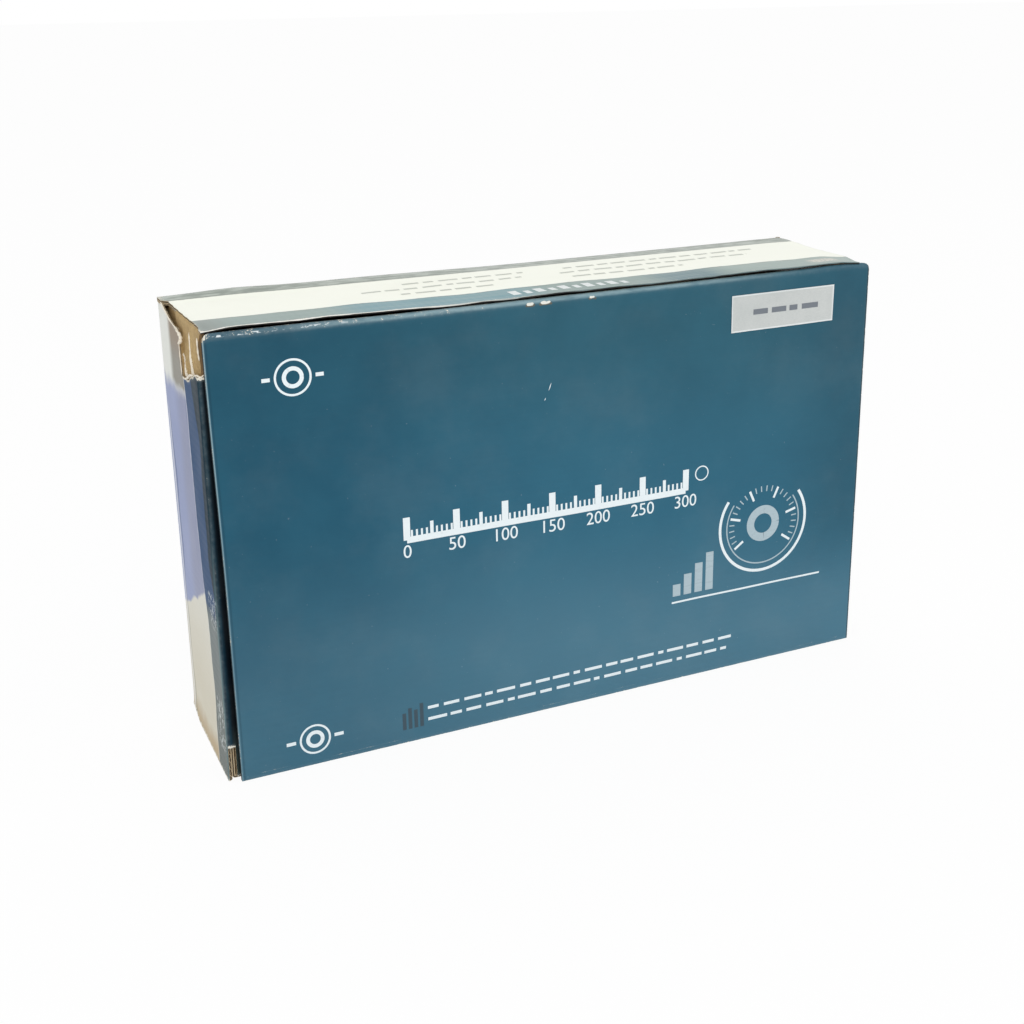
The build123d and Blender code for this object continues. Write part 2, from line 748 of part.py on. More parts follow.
def make_rocker():
    """The rocker that turns the stud's push into the sector's swing, and its two brackets."""
    shaft_left = gauge_centre_x - 2 * rocker_arm_width
    shaft_right = finger_x + 2 * rocker_arm_width
    lever_back = stud_front - contact_gap
    lever_x = (gauge_centre_x - rocker_arm_width / 2, gauge_centre_x + rocker_arm_width / 2)
    arm_z = (shaft_z - rocker_arm_thick / 2, shaft_z + rocker_arm_thick / 2)
    foot_z = (axis_height - rocker_arm_width / 2, shaft_z)
    rocker = rod_x(rocker_shaft_radius, shaft_left, shaft_right, shaft_y, shaft_z)
    rocker += block(lever_x, (lever_back, lever_back - rocker_arm_thick), foot_z)
    rocker += block(lever_x, (lever_back, shaft_y), arm_z)
    rocker += block((finger_x - finger_width / 2, finger_x + finger_width / 2), (shaft_y, gear_front), arm_z)
    parts["rocker"] = rocker
    brackets = []
    for x in (shaft_left + bracket_thick, shaft_right - bracket_thick):
        bracket = block(
            (x - bracket_thick / 2, x + bracket_thick / 2),
            (base_back, shaft_y + 2 * rocker_shaft_radius),
            (shaft_z - 2 * rocker_shaft_radius, shaft_z + 2 * rocker_shaft_radius),
        )
        bore = rod_x(rocker_shaft_radius + pivot_play, x - bracket_thick, x + bracket_thick, shaft_y, shaft_z)
        brackets.append(bracket - bore)
    parts["rocker_brackets"] = Compound(children=brackets)


def spiral_face(start_radius, pitch, half_turns, thick, first=0):
    """A flat spiral band in the XY plane, made of half rings whose centres step by half the pitch."""
    outer, inner = [], []
    for k in range(first, first + half_turns):
        centre = (0, 0) if k % 2 == 0 else (pitch / 2, 0)
        radius = start_radius + k * pitch / 2
        begin = 0 if k % 2 == 0 else 180
        outer.append(CenterArc(centre, radius + thick / 2, begin, 180))
        inner.append(CenterArc(centre, radius - thick / 2, begin, 180))
    start_cap = Line(outer[0] @ 0, inner[0] @ 0)
    end_cap = Line(outer[-1] @ 1, inner[-1] @ 1)
    return make_face([*outer, end_cap, *inner, start_cap])


def make_hairspring():
    """The flat hairspring round the arbor's collet, and the stud that holds its outer end."""
    start_radius = collet_radius + 2 * spring_strip
    half_turns = 2 * spring_turns
    spring = extrude(spiral_face(start_radius, spring_pitch, half_turns, spring_strip), amount=spring_height)
    parts["hairspring"] = Pos(gauge_centre_x, spring_back, axis_height) * Rot(90, 0, 0) * spring
    end_radius = start_radius + (half_turns - 1) * spring_pitch / 2
    end_x = gauge_centre_x + spring_pitch / 2 + end_radius
    half = 3 * spring_strip
    parts["hairspring_stud"] = block(
        (end_x - half, end_x + half),
        (base_front, spring_back - spring_height - spring_strip),
        (axis_height + fit_play, axis_height + fit_play + 2 * half),
    )


def dial_screw_centre(side):
    """The (x, z) centre of one of the dial's two posts."""
    return polar(side * dial_screw_place, 90 - dial_screw_tilt, gauge_centre_x, axis_height)


def make_dial():
    """The dial on its two posts, each with its screw."""
    dial = rod_y(dial_radius, dial_back, dial_front)
    dial -= rod_y(dial_bore, dial_back + through, dial_front - through)
    screws = []
    for side in (-1, 1):
        x, z = dial_screw_centre(side)
        dial -= rod_y(dial_screw_radius + fit_play, dial_back + through, dial_front - through, x, z)
        screw = rod_y(dial_post_radius, base_front, dial_back + fit_play, x, z)
        screw += rod_y(dial_screw_radius, dial_back + fit_play, dial_front - fit_play, x, z)
        screw += rod_y(dial_post_radius, dial_front - fit_play, dial_front - fit_play - dial_screw_head, x, z)
        screws.append(screw)
    parts["dial"] = dial
    parts["dial_screws"] = Compound(children=screws)


def make_pointer():
    """The pointer, pressed on the arbor and resting at the dial's zero."""
    half = pointer_width / 2
    shoulder = pointer_length - pointer_point
    outline = [
        (pointer_root, -half),
        (shoulder, -half * pointer_width / 2),
        (pointer_length, 0),
        (shoulder, half * pointer_width / 2),
        (pointer_root, half),
        (-pointer_root, half),
        (-pointer_tail, pointer_width),
        (-pointer_tail, -pointer_width),
        (-pointer_root, -half),
    ]
    blade = plate_xz(outline, pointer_back, pointer_back - pointer_thick)
    hub_back = pointer_back + pointer_thick
    bore_end = pointer_back - pointer_hub_height / 2 - fit_play
    pointer = blade + rod_y(pointer_hub_radius, hub_back, hub_back - pointer_hub_height, 0, 0)
    pointer -= rod_y(arbor_radius, hub_back + through, bore_end, 0, 0)
    parts["pointer"] = Pos(gauge_centre_x, 0, axis_height) * Rot(0, -zero_angle, 0) * pointer


def cuff_band(thick, height, low, first, half_turns):
    """A band that follows the rolled cuff's own spiral, whose outermost half turn is its front."""
    face = spiral_face(cuff_core_radius, cuff_pitch, half_turns, thick, first)
    odd = cuff_half_turns % 2
    shift = -(cuff_pitch / 2) * (1 - odd)
    return Pos(cuff_x + shift, cuff_y, low) * Rot(0, 0, 180 * odd) * extrude(face, amount=height)


def make_cuff():
    """The rolled cuff with its bladder, its hook pad and its hose port."""
    bladder_low = stand_height + (cuff_width - bladder_width) / 2
    first = cuff_half_turns - bladder_half_turns - 1
    wrap = cuff_band(cuff_thick, cuff_width, stand_height, 0, cuff_half_turns)
    pocket_height = bladder_width + 2 * pocket_play
    pocket_thick = bladder_thick + 2 * pocket_play
    wrap -= cuff_band(pocket_thick, pocket_height, bladder_low - pocket_play, first, bladder_half_turns)
    parts["cuff_wrap"] = wrap
    parts["cuff_bladder"] = cuff_band(bladder_thick, bladder_width, bladder_low, first, bladder_half_turns)

    port_end = port_mouth - port_length
    port = rod_x(port_flange_radius, port_end, cuff_x, hose_front_y, hose_high_run)
    port &= rod_z(port_flange_round, 0, carton_height, cuff_x, cuff_y)
    port += rod_x(hose_bore - fit_play, port_end, cuff_x, hose_front_y, hose_high_run)
    port -= rod_z(cuff_radius + fit_play, 0, carton_height, cuff_x, cuff_y)
    port -= rod_x(hose_bore / 2, port_end - through, cuff_x, hose_front_y, hose_high_run)
    parts["cuff_port"] = port

    hook_low = stand_height + hook_margin
    pad_inside = cuff_radius + fit_play
    pad = rod_z(pad_inside + hook_thick, hook_low, hook_low + hook_height, cuff_x, cuff_y)
    pad -= rod_z(pad_inside, hook_low - through, hook_low + hook_height + through, cuff_x, cuff_y)
    parts["hook_pad"] = pad & block(
        (cuff_x - hook_width / 2, cuff_x + hook_width / 2), (cuff_y - 2 * cuff_radius, cuff_y), (0, carton_height)
    )


def least_gap(path, samples=300):
    """The least clear space between stretches of the hose that lie more than a turn's width apart along it."""
    points = [path @ (k / samples) for k in range(samples + 1)]
    apart = math.ceil(2 * hose_turn_radius / path.length * samples)
    pairs = [(a, b) for a in range(samples + 1) for b in range(a + apart, samples + 1)]
    return min((points[a] - points[b]).length for a, b in pairs) - 2 * hose_radius


def make_hose():
    """The hose in one loose oval coil of two layers, from the cuff's port to the block's nipple, and its tie."""
    route = [
        (port_mouth, hose_front_y, hose_high_run),
        (hose_left_turn, hose_front_y, hose_high_run),
        (hose_left_turn, hose_front_y, hose_low_run),
        (hose_right_turn, hose_front_y, hose_low_run),
        (hose_right_turn, axis_y, hose_high_run),
        (hose_left_turn, axis_y, hose_high_run),
        (hose_left_turn, axis_y, hose_low_run),
        (nipple_place, axis_y, hose_low_run),
        (nipple_place, axis_y, nipple_base + fit_play),
    ]
    corners = route[1:-1]
    radii = [hose_turn_radius for _ in corners[:-1]] + [hose_drop_radius]
    path = FilletPolyline(*route, radius=radii)
    section = Plane(origin=route[0], z_dir=(-1, 0, 0)) * (Circle(hose_radius) - Circle(hose_bore))
    parts["hose"] = sweep(section, path=path)
    wanted = math.pi * (hose_radius**2 - hose_bore**2) * path.length
    print(f"hose length {path.length:.0f} mm, radii {radii}, least gap to itself {least_gap(path):.2f} mm")
    print(f"hose volume {parts['hose'].volume:.0f} of {wanted:.0f} mm3")

    middle_y = (axis_y + hose_front_y) / 2
    high = 2 * hose_radius + 2 * fit_play
    deep = axis_y - hose_front_y + high
    outer = Rectangle(deep + 2 * tie_thick, high + 2 * tie_thick)
    outer = fillet(outer.vertices(), hose_radius)
    inner = fillet(Rectangle(deep, high).vertices(), hose_radius - 2 * fit_play)
    ring = extrude(outer - inner, amount=tie_width)
    tie_left = hose_left_turn + tie_distance
    parts["hose_tie"] = Plane(origin=(tie_left, middle_y, hose_high_run), x_dir=(0, 1, 0), z_dir=(1, 0, 0)) * ring


def make_insert():
    """The folded card deck with its cut-outs, and the two legs that stand on the carton's back."""
    deck_high = stand_height + cuff_width
    span_y = (deck_front, deck_front + card)
    past_y = (deck_front - through, deck_front + card + through)
    deck = block((insert_left, insert_right), span_y, (stand_height, deck_high))
    window_half = knob_radius + knob_window_play
    window_low = knob_low - spindle_travel - knob_window_play
    cuts = [
        bulb_solid(-nest_play, bulb_neck_radius + nest_play, bulb_tail_radius + nest_play),
        rod_x(end_flange_radius + nest_play, end_flange_left - nest_play, bulb_left),
        rod_x(block_radius + nest_play, block_left - nest_play, block_right + nest_play),
        rod_x(stem_radius + stem_pad_wall + nest_play, block_right, gauge_centre_x),
        rod_y(gauge_case_radius + nest_play, *past_y),
        block((nipple_place - window_half, nipple_place + window_half), past_y, (window_low, axis_height)),
    ]
    for cut in cuts:
        deck -= cut
    parts["insert_deck"] = deck
    leg_y = (deck_front + card, back_inside)
    parts["insert_left_leg"] = block((insert_left, insert_left + card), leg_y, (stand_height, deck_high))
    parts["insert_right_leg"] = block((insert_right - card, insert_right), leg_y, (stand_height, deck_high))


def make_papers():
    """The zipped pouch behind the insert, its zip and slider, and the folded leaflet."""
    pouch_top = stand_height + pouch_height
    pouch = block((pouch_left, pouch_right), (pouch_front, pouch_back), (stand_height, pouch_top))
    parts["storage_pouch"] = fillet(pouch.edges(), pouch_round)

    middle = (pouch_front + pouch_back) / 2
    zip_left, zip_right = pouch_left + zip_end_margin, pouch_right - zip_end_margin
    teeth_top = pouch_top + zip_tape_height
    teeth_low = teeth_top - zip_teeth_height

    def strip(thick, x_span, z_span):
        return block(x_span, (middle - thick / 2, middle + thick / 2), z_span)

    tape = strip(zip_tape_thick, (zip_left, zip_right), (pouch_top, teeth_top))
    parts["pouch_zip"] = tape + strip(zip_teeth_thick, (zip_left, zip_right), (teeth_low, teeth_top))
    slider_x = (zip_left, zip_left + slider_length)
    past_x = (slider_x[0] - through, slider_x[1] + through)
    channel = zip_teeth_thick + 2 * fit_play
    slider = strip(channel + 2 * slider_wall, slider_x, (teeth_low - slider_wall, teeth_top + fit_play + slider_wall))
    slider -= strip(channel, past_x, (teeth_low - fit_play, teeth_top + fit_play))
    slider -= strip(zip_tape_thick + 2 * fit_play, past_x, (teeth_low - 2 * slider_wall, teeth_low))
    parts["zip_slider"] = slider

    parts["leaflet"] = block(
        (leaflet_left, leaflet_right), (leaflet_front, leaflet_back), (floor_inside, floor_inside + leaflet_height)
    )


def main():
    os.makedirs("parts", exist_ok=True)
    make_tray()
    make_lid()
    make_bulb()
    make_valve()
    make_gauge_housing()
    make_capsule()
    make_plates()
    make_gears()
    make_rocker()
    make_hairspring()
    make_dial()
    make_pointer()
    make_cuff()
    make_hose()
    make_insert()
    make_papers()
    for name, shape in parts.items():
        export_step(shape, f"parts/{name}.step")


main()
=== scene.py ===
"""A boxed aneroid sphygmomanometer: a worn corrugated mailer carton, with the instrument packed inside it."""

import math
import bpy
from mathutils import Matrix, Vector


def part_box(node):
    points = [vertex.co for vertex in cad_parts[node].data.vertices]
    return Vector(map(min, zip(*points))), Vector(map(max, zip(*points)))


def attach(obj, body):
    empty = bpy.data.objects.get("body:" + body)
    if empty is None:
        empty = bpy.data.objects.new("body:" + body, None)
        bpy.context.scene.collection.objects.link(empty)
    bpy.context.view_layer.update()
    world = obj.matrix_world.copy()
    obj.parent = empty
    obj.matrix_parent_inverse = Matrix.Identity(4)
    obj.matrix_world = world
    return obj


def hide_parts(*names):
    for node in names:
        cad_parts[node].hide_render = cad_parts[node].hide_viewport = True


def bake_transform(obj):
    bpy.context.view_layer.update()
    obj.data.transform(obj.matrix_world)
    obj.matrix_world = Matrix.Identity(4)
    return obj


bl_info = {
    "name": "Boxed Aneroid Sphygmomanometer",
    "version": (1, 0, 0),
    "blender": (4, 5, 0),
    "location": "3D View > Sidebar > Sphygmomanometer",
    "description": "Builds the printed carton and the cuff, bulb, hose, valve, gauge and pouch that it holds",
    "category": "Object",
}

from functools import partialmethod

import bmesh
import bpy
import numpy as np
from bpy.props import FloatProperty, FloatVectorProperty, IntProperty, PointerProperty
from mathutils import Matrix, Vector

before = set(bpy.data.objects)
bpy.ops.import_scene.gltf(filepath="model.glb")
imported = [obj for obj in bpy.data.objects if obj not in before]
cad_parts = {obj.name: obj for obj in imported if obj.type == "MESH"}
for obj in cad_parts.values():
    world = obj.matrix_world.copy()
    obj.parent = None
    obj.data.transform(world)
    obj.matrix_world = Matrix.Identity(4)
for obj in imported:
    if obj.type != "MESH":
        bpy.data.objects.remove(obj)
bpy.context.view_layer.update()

MM = 0.001


def linear(code):
    """A colour written as rrggbb, in linear light."""
    levels = [int(code[k : k + 2], 16) / 255 for k in (0, 2, 4)]
    return tuple(v / 12.92 if v <= 0.04045 else ((v + 0.055) / 1.055) ** 2.4 for v in levels)


def toned(colour, factor):
    """A darker or lighter tone of a colour."""
    colour = linear(colour) if isinstance(colour, str) else colour
    return tuple(min(1, c * factor) for c in colour)


def span(node):
    """Lowest and highest corner of a CAD node, in millimetres."""
    low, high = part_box(node)
    return np.array(low) / MM, np.array(high) / MM


def stacked(*parts):
    """The given arrays, spread to one shape, side by side along a last axis."""
    return np.stack(np.broadcast_arrays(*parts), -1)


def together(*parts):
    """All the given values, each once, in rising order."""
    return np.unique(np.concatenate(parts))


def run_lengths(line):
    """Distance along a line from its start to each of its points."""
    return np.concatenate([[0], np.cumsum(np.linalg.norm(np.diff(line, axis=0), axis=1))])


# Places of the carton's panels, in millimetres
lid_low, lid_high = span("lid_panel")
back_low, back_high = span("back_panel")
top_low, top_high = span("top_wall")
bottom_low, bottom_high = span("bottom_wall")
left_low, left_high = span("left_wall")
dial_low, dial_high = span("dial")
BOARD = float(bottom_high[2] - bottom_low[2])
CARTON_TOP = float(back_high[2])
CARTON_BACK = float(back_high[1])
# How far the right side's head lies below the carton's
RIGHT_DROP = 3.2
LID_FACE = float(lid_low[1])


def colour_property(name, description, code):
    return FloatVectorProperty(name=name, description=description, subtype="COLOR", size=3, min=0, max=1,
                               default=linear(code))


def length_property(name, description, millimetres):
    return FloatProperty(name=name, description=description, subtype="DISTANCE", unit="LENGTH",
                         default=millimetres * MM, min=0)


def share_property(name, description, default):
    return FloatProperty(name=name, description=description, subtype="FACTOR", default=default, min=0, max=1)


class CartonSettings(bpy.types.PropertyGroup):
    """Colours, print, wear and painted light of the carton."""

    lid_colour: colour_property("Lid print", "Print in the middle of the lid", "2d637a")
    # Darker along the lid's top: partly print, partly painted shade.
    lid_top_colour: colour_property("Lid print, top", "Print and painted shade along the lid's top", "2a5869")
    # Paler and greyer at the lid's foot: a painted sheen; the back's worn patch takes the same colour.
    lid_foot_colour: colour_property("Lid foot, painted sheen", "Painted sheen along the lid's foot", "4b768a")
    band_colour: colour_property("Band", "Pale band round the sides", "f8faee")
    strip_colour: colour_property("Strip", "Greyed strips beside the band", "889c97")
    # Painted reflection: lavender over the left side's pale part.
    stain_colour: colour_property("Stain", "Painted reflection on the left side's pale part", "98a2c4")
    # Painted reflection: violet over the dark strip of the left side.
    violet_colour: colour_property("Violet strip", "Painted reflection on the left side's dark part", "2a4b72")
    # Dark teal print of the rolled edges, darkened further as painted shade.
    roll_colour: colour_property("Rolled edge", "Print round the rolled front edges, darkened as painted shade", "092f3e")
    kraft_colour: colour_property("Kraft", "Bare liner inside", "b89c6c")
    ink_colour: colour_property("Ink", "White ink on the lid", "e6eff2")
    silver_colour: colour_property("Silver ink", "Pale silver ink of the printed device", "a9bcc4")
    label_colour: colour_property("Label", "Paper label", "c9ccca")
    flute_pitch: length_property("Flute pitch", "Distance between two flutes of the board", 2.6)
    wear: share_property("Wear", "How far the folds and corners are rubbed", 0.6)


class InstrumentSettings(bpy.types.PropertyGroup):
    """Finishes of the instrument."""

    rubber_colour: colour_property("Rubber", "Bulb, hose and port", "1d1d20")
    cloth_colour: colour_property("Cuff cloth", "Woven nylon of the cuff", "1f2b48")
    dial_colour: colour_property("Dial", "Face of the gauge", "f1f1ea")
    dial_ink: colour_property("Dial ink", "Scale and numbers of the gauge", "15171a")
    brass_colour: colour_property("Brass", "Plates and gears", "cfa85c")
    hose_wall_sides: IntProperty(name="Hose sides", description="Sides of the hose's round section", default=20, min=8)
    number_height: length_property("Number height", "Height of the dial's numbers", 3.0)


class StageSettings(bpy.types.PropertyGroup):
    """Camera, floor and light."""

    focal_length: FloatProperty(name="Focal length", description="Lens on a 36 mm wide frame", unit="CAMERA",
                                default=49.798, min=1)
    azimuth: FloatProperty(name="Azimuth", description="Camera's turn round the carton", subtype="ANGLE",
                           default=math.radians(-24.374))
    elevation: FloatProperty(name="Elevation", description="Camera's height angle", subtype="ANGLE",
                             default=math.radians(17.822))
    roll: FloatProperty(name="Roll", description="Camera's roll", subtype="ANGLE", default=math.radians(-1.024))
    rise: FloatProperty(name="Vertical shift", description="Shift of the lens, as a share of the frame's width",
                        default=-0.0586)
    camera_place: FloatVectorProperty(name="Camera place", description="Where the camera stands",
                                      subtype="TRANSLATION", unit="LENGTH", size=3,
                                      default=(-0.205547, -0.436435, 0.242209))
    floor_colour: colour_property("Floor", "Pale floor", "fafafa")
    key_strength: FloatProperty(name="Key light", description="Power of the large soft lamp", default=9.0, min=0)
    sky_strength: FloatProperty(name="Sky", description="Strength of the even light all round", default=0.75, min=0)


# Surfaces


def linked(name, data):
    """A new object of the scene."""
    made = bpy.data.objects.new(name, data)
    bpy.context.scene.collection.objects.link(made)
    return made


class Surface:
    """Grid surfaces gathered into one mesh, with points and UV in millimetres and a wear value for each point."""

    def __init__(self):
        self.points, self.uvs, self.worn, self.faces, self.slots = [], [], [], [], []
        self.count = 0

    def add(self, points, uv=None, worn=0.0, slot=0, flip=False):
        """Adds a grid of rows x columns points: each face joins (r, c), (r+1, c), (r+1, c+1), (r, c+1)."""
        rows, columns = points.shape[:2]
        corner = np.arange(rows - 1)[:, None] * columns + np.arange(columns - 1)[None, :] + self.count
        faces = stacked(corner, corner + columns, corner + columns + 1, corner + 1).reshape(-1, 4)
        if uv is None:
            uv = np.zeros((rows, columns, 2))
        self.points.append(points.reshape(-1, 3))
        self.uvs.append(np.broadcast_to(uv, (rows, columns, 2)).reshape(-1, 2))
        self.worn.append(np.broadcast_to(worn, (rows, columns)).reshape(-1))
        self.faces.append(faces[:, ::-1] if flip else faces)
        self.slots.append(np.full(len(faces), slot, np.int32))
        self.count += rows * columns

    def build(self, name, materials, sharp=35.0):
        """The object: doubles merged, faces turned outwards, edges over the sharp angle kept sharp."""
        points = np.concatenate(self.points) * MM
        faces = np.concatenate(self.faces)
        mesh = bpy.data.meshes.new(name)
        mesh.from_pydata(points, [], faces)
        mesh.uv_layers.new(name="Surface")
        mesh.uv_layers[0].uv.foreach_set("vector", np.concatenate(self.uvs)[faces.ravel()].ravel().astype(np.float32))
        worn = mesh.attributes.new("worn", "FLOAT", "POINT")
        worn.data.foreach_set("value", np.concatenate(self.worn).astype(np.float32))
        mesh.polygons.foreach_set("material_index", np.concatenate(self.slots))
        for material in materials:
            mesh.materials.append(material)
        tidy_mesh(mesh)
        mesh.set_sharp_from_angle(angle=math.radians(sharp))
        return linked(name, mesh)


def tidy_mesh(mesh, distance=2e-6):
    """Merges doubles and turns the closed shells' faces outwards."""
    work = bmesh.new()
    work.from_mesh(mesh)
    bmesh.ops.remove_doubles(work, verts=work.verts, dist=distance)
    bmesh.ops.recalc_face_normals(work, faces=work.faces)
    work.to_mesh(mesh)
    work.free()
    mesh.shade_smooth()


def put(piece, body, *nodes, slot):
    """Rides the piece on its body and hides the CAD nodes that it stands for; its slot is not used."""
    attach(piece, body)
    if nodes:
        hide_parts(*nodes)
    return piece


def smooth(value, start, end):
    """Smooth step of an array, 0 before start and 1 after end."""
    share = np.clip((np.asarray(value, float) - start) / (end - start), 0, 1)
    return share * share * (3 - 2 * share)


def wave(a, b, length, phase):
    """A gentle unevenness between -1 and 1: the product of two sines, plus a shorter pair at half strength."""
    slow = np.sin(2 * np.pi * a / length + phase) * np.sin(2 * np.pi * b / (1.31 * length) + 2.3 * phase)
    fast = np.sin(2 * np.pi * a / (0.37 * length) + 1.7 * phase) * np.sin(2 * np.pi * b / (0.43 * length) + phase)
    return (slow + 0.5 * fast) / 1.5


def ragged(values, amount, phase):
    """A torn line's in and out: three sines of unrelated lengths along it."""
    lengths = (7.3, 3.1, 1.3)
    total = sum(np.sin(2 * np.pi * values / length + phase * (k + 1)) / (k + 1) for k, length in enumerate(lengths))
    return amount * total / 1.8


def round_path(points, radii, arc_steps=6):
    """A flat path whose corners are arcs: run lengths, points and left-hand normals.
    A corner's arc starts and ends radius x tan(turn / 2) from it and is divided evenly."""
    points = [np.array(p, float) for p in points]
    line, normals = [points[0]], []
    heading = points[1] - points[0]
    heading /= np.linalg.norm(heading)
    normals.append(np.array([-heading[1], heading[0]]))
    for before, corner, after, radius in zip(points, points[1:], points[2:], radii):
        first, second = corner - before, after - corner
        first, second = first / np.linalg.norm(first), second / np.linalg.norm(second)
        turn = math.atan2(first[0] * second[1] - first[1] * second[0], float(first @ second))
        reach = radius * math.tan(abs(turn) / 2)
        side = math.copysign(1.0, turn)
        first_normal = np.array([-first[1], first[0]])
        centre = corner - first * reach + first_normal * side * radius
        for k in range(arc_steps + 1):
            angle = turn * k / arc_steps
            turned = np.array([
                first_normal[0] * math.cos(angle) - first_normal[1] * math.sin(angle),
                first_normal[0] * math.sin(angle) + first_normal[1] * math.cos(angle),
            ])
            line.append(centre - turned * side * radius)
            normals.append(turned)
    line.append(points[-1])
    heading = points[-1] - points[-2]
    heading /= np.linalg.norm(heading)
    normals.append(np.array([-heading[1], heading[0]]))
    line, normals = np.array(line), np.array(normals)
    runs = run_lengths(line)
    keep = np.concatenate([[True], np.diff(runs) > 1e-6])
    return runs[keep], line[keep], normals[keep]


def along(path, v, w):
    """Points at run v and depth w of a round path, as two arrays."""
    runs, line, normals = path
    first = np.interp(v, runs, line[:, 0]) + w * np.interp(v, runs, normals[:, 0])
    second = np.interp(v, runs, line[:, 1]) + w * np.interp(v, runs, normals[:, 1])
    return first, second


def fine_runs(path, step):
    """The path's own run lengths, with the long straight stretches divided to about one step."""
    runs = path[0]
    parts = [np.linspace(a, b, max(1, math.ceil((b - a) / step)) + 1)[:-1] for a, b in zip(runs, runs[1:])]
    return np.concatenate([*parts, runs[-1:]])


def even(low, high, step, edge=()):
    """Values from low to high about one step apart, with extra ones at the given distances from both ends."""
    values = np.linspace(low, high, max(2, math.ceil(abs(high - low) / step)) + 1)
    extra = [low + d for d in edge] + [high - d for d in edge]
    return together(values, extra)


def board(surface, place, rows, lows, highs, shares, thick=BOARD, worn=None, slots=(0, 1, 2)):
    """A piece of board: the outer skin is place(u, v, 0) and the inner one place(u, v, thick), where u runs over the
    rows and v from lows to highs by shares. Its rim is four strips whose UV is the run along them and the depth:
    first row, first column, last row, last column. Slots are those of the two skins and of the strips,
    one for all or one for each."""
    rows = np.asarray(rows, float)
    lows, highs = np.broadcast_to(lows, rows.shape), np.broadcast_to(highs, rows.shape)
    u = np.repeat(rows[:, None], len(shares), 1)
    v = lows[:, None] + (highs - lows)[:, None] * np.asarray(shares)[None, :]
    wear = 0.0 if worn is None else worn(u, v)
    uv = stacked(u, v)
    surface.add(place(u, v, 0.0), uv, wear, slots[0])
    surface.add(place(u, v, thick), uv, 0.0, slots[1], flip=True)
    depth = np.array([0.0, thick])[None, :]
    rims = ((u[0], v[0]), (u[:, 0], v[:, 0]), (u[-1], v[-1]), (u[:, -1], v[:, -1]))
    for (line_u, line_v), slot in zip(rims, slots[2:] if len(slots) > 3 else slots[2:] * 4):
        points = place(line_u[:, None], line_v[:, None], depth)
        flat = place(line_u, line_v, 0.0)
        run = run_lengths(flat)
        rim_uv = stacked(run[:, None], depth)
        surface.add(points, rim_uv, 0.5, slot)


def board_piece(name, owner, materials, place, rows, lows, highs, shares, slot="printed_board", **options):
    """A piece that is one board; the owner is its body and the CAD node that it stands for."""
    surface = Surface()
    board(surface, place, rows, lows, highs, shares, **options)
    return put(surface.build(name, materials), *owner, slot=slot)


def tube(surface, line, radius, sides, caps=True):
    """A round section carried along a line: each ring stands square to the line, turned as little as possible."""
    line = np.asarray(line, float)
    radius = np.broadcast_to(radius, len(line))
    heading = np.gradient(line, axis=0)
    heading /= np.linalg.norm(heading, axis=1)[:, None]
    across = np.zeros_like(line)
    start = np.cross(heading[0], (0.31, 0.17, 0.93))
    across[0] = start / np.linalg.norm(start)
    for k in range(1, len(line)):
        step = across[k - 1] - heading[k] * (across[k - 1] @ heading[k])
        across[k] = step / np.linalg.norm(step)
    up = np.cross(heading, across)
    angle = np.linspace(0, 2 * np.pi, sides + 1)
    ring = across[:, None] * np.cos(angle)[None, :, None] + up[:, None] * np.sin(angle)[None, :, None]
    points = line[:, None] + ring * radius[:, None, None]
    run = run_lengths(line)
    around = angle * float(np.mean(radius))
    surface.add(points, stacked(run[:, None], around[None, :]))
    if caps:
        for end in (0, -1):
            rim = points[end]
            surface.add(np.stack([np.broadcast_to(line[end], rim.shape), rim]))


# Shader nodes


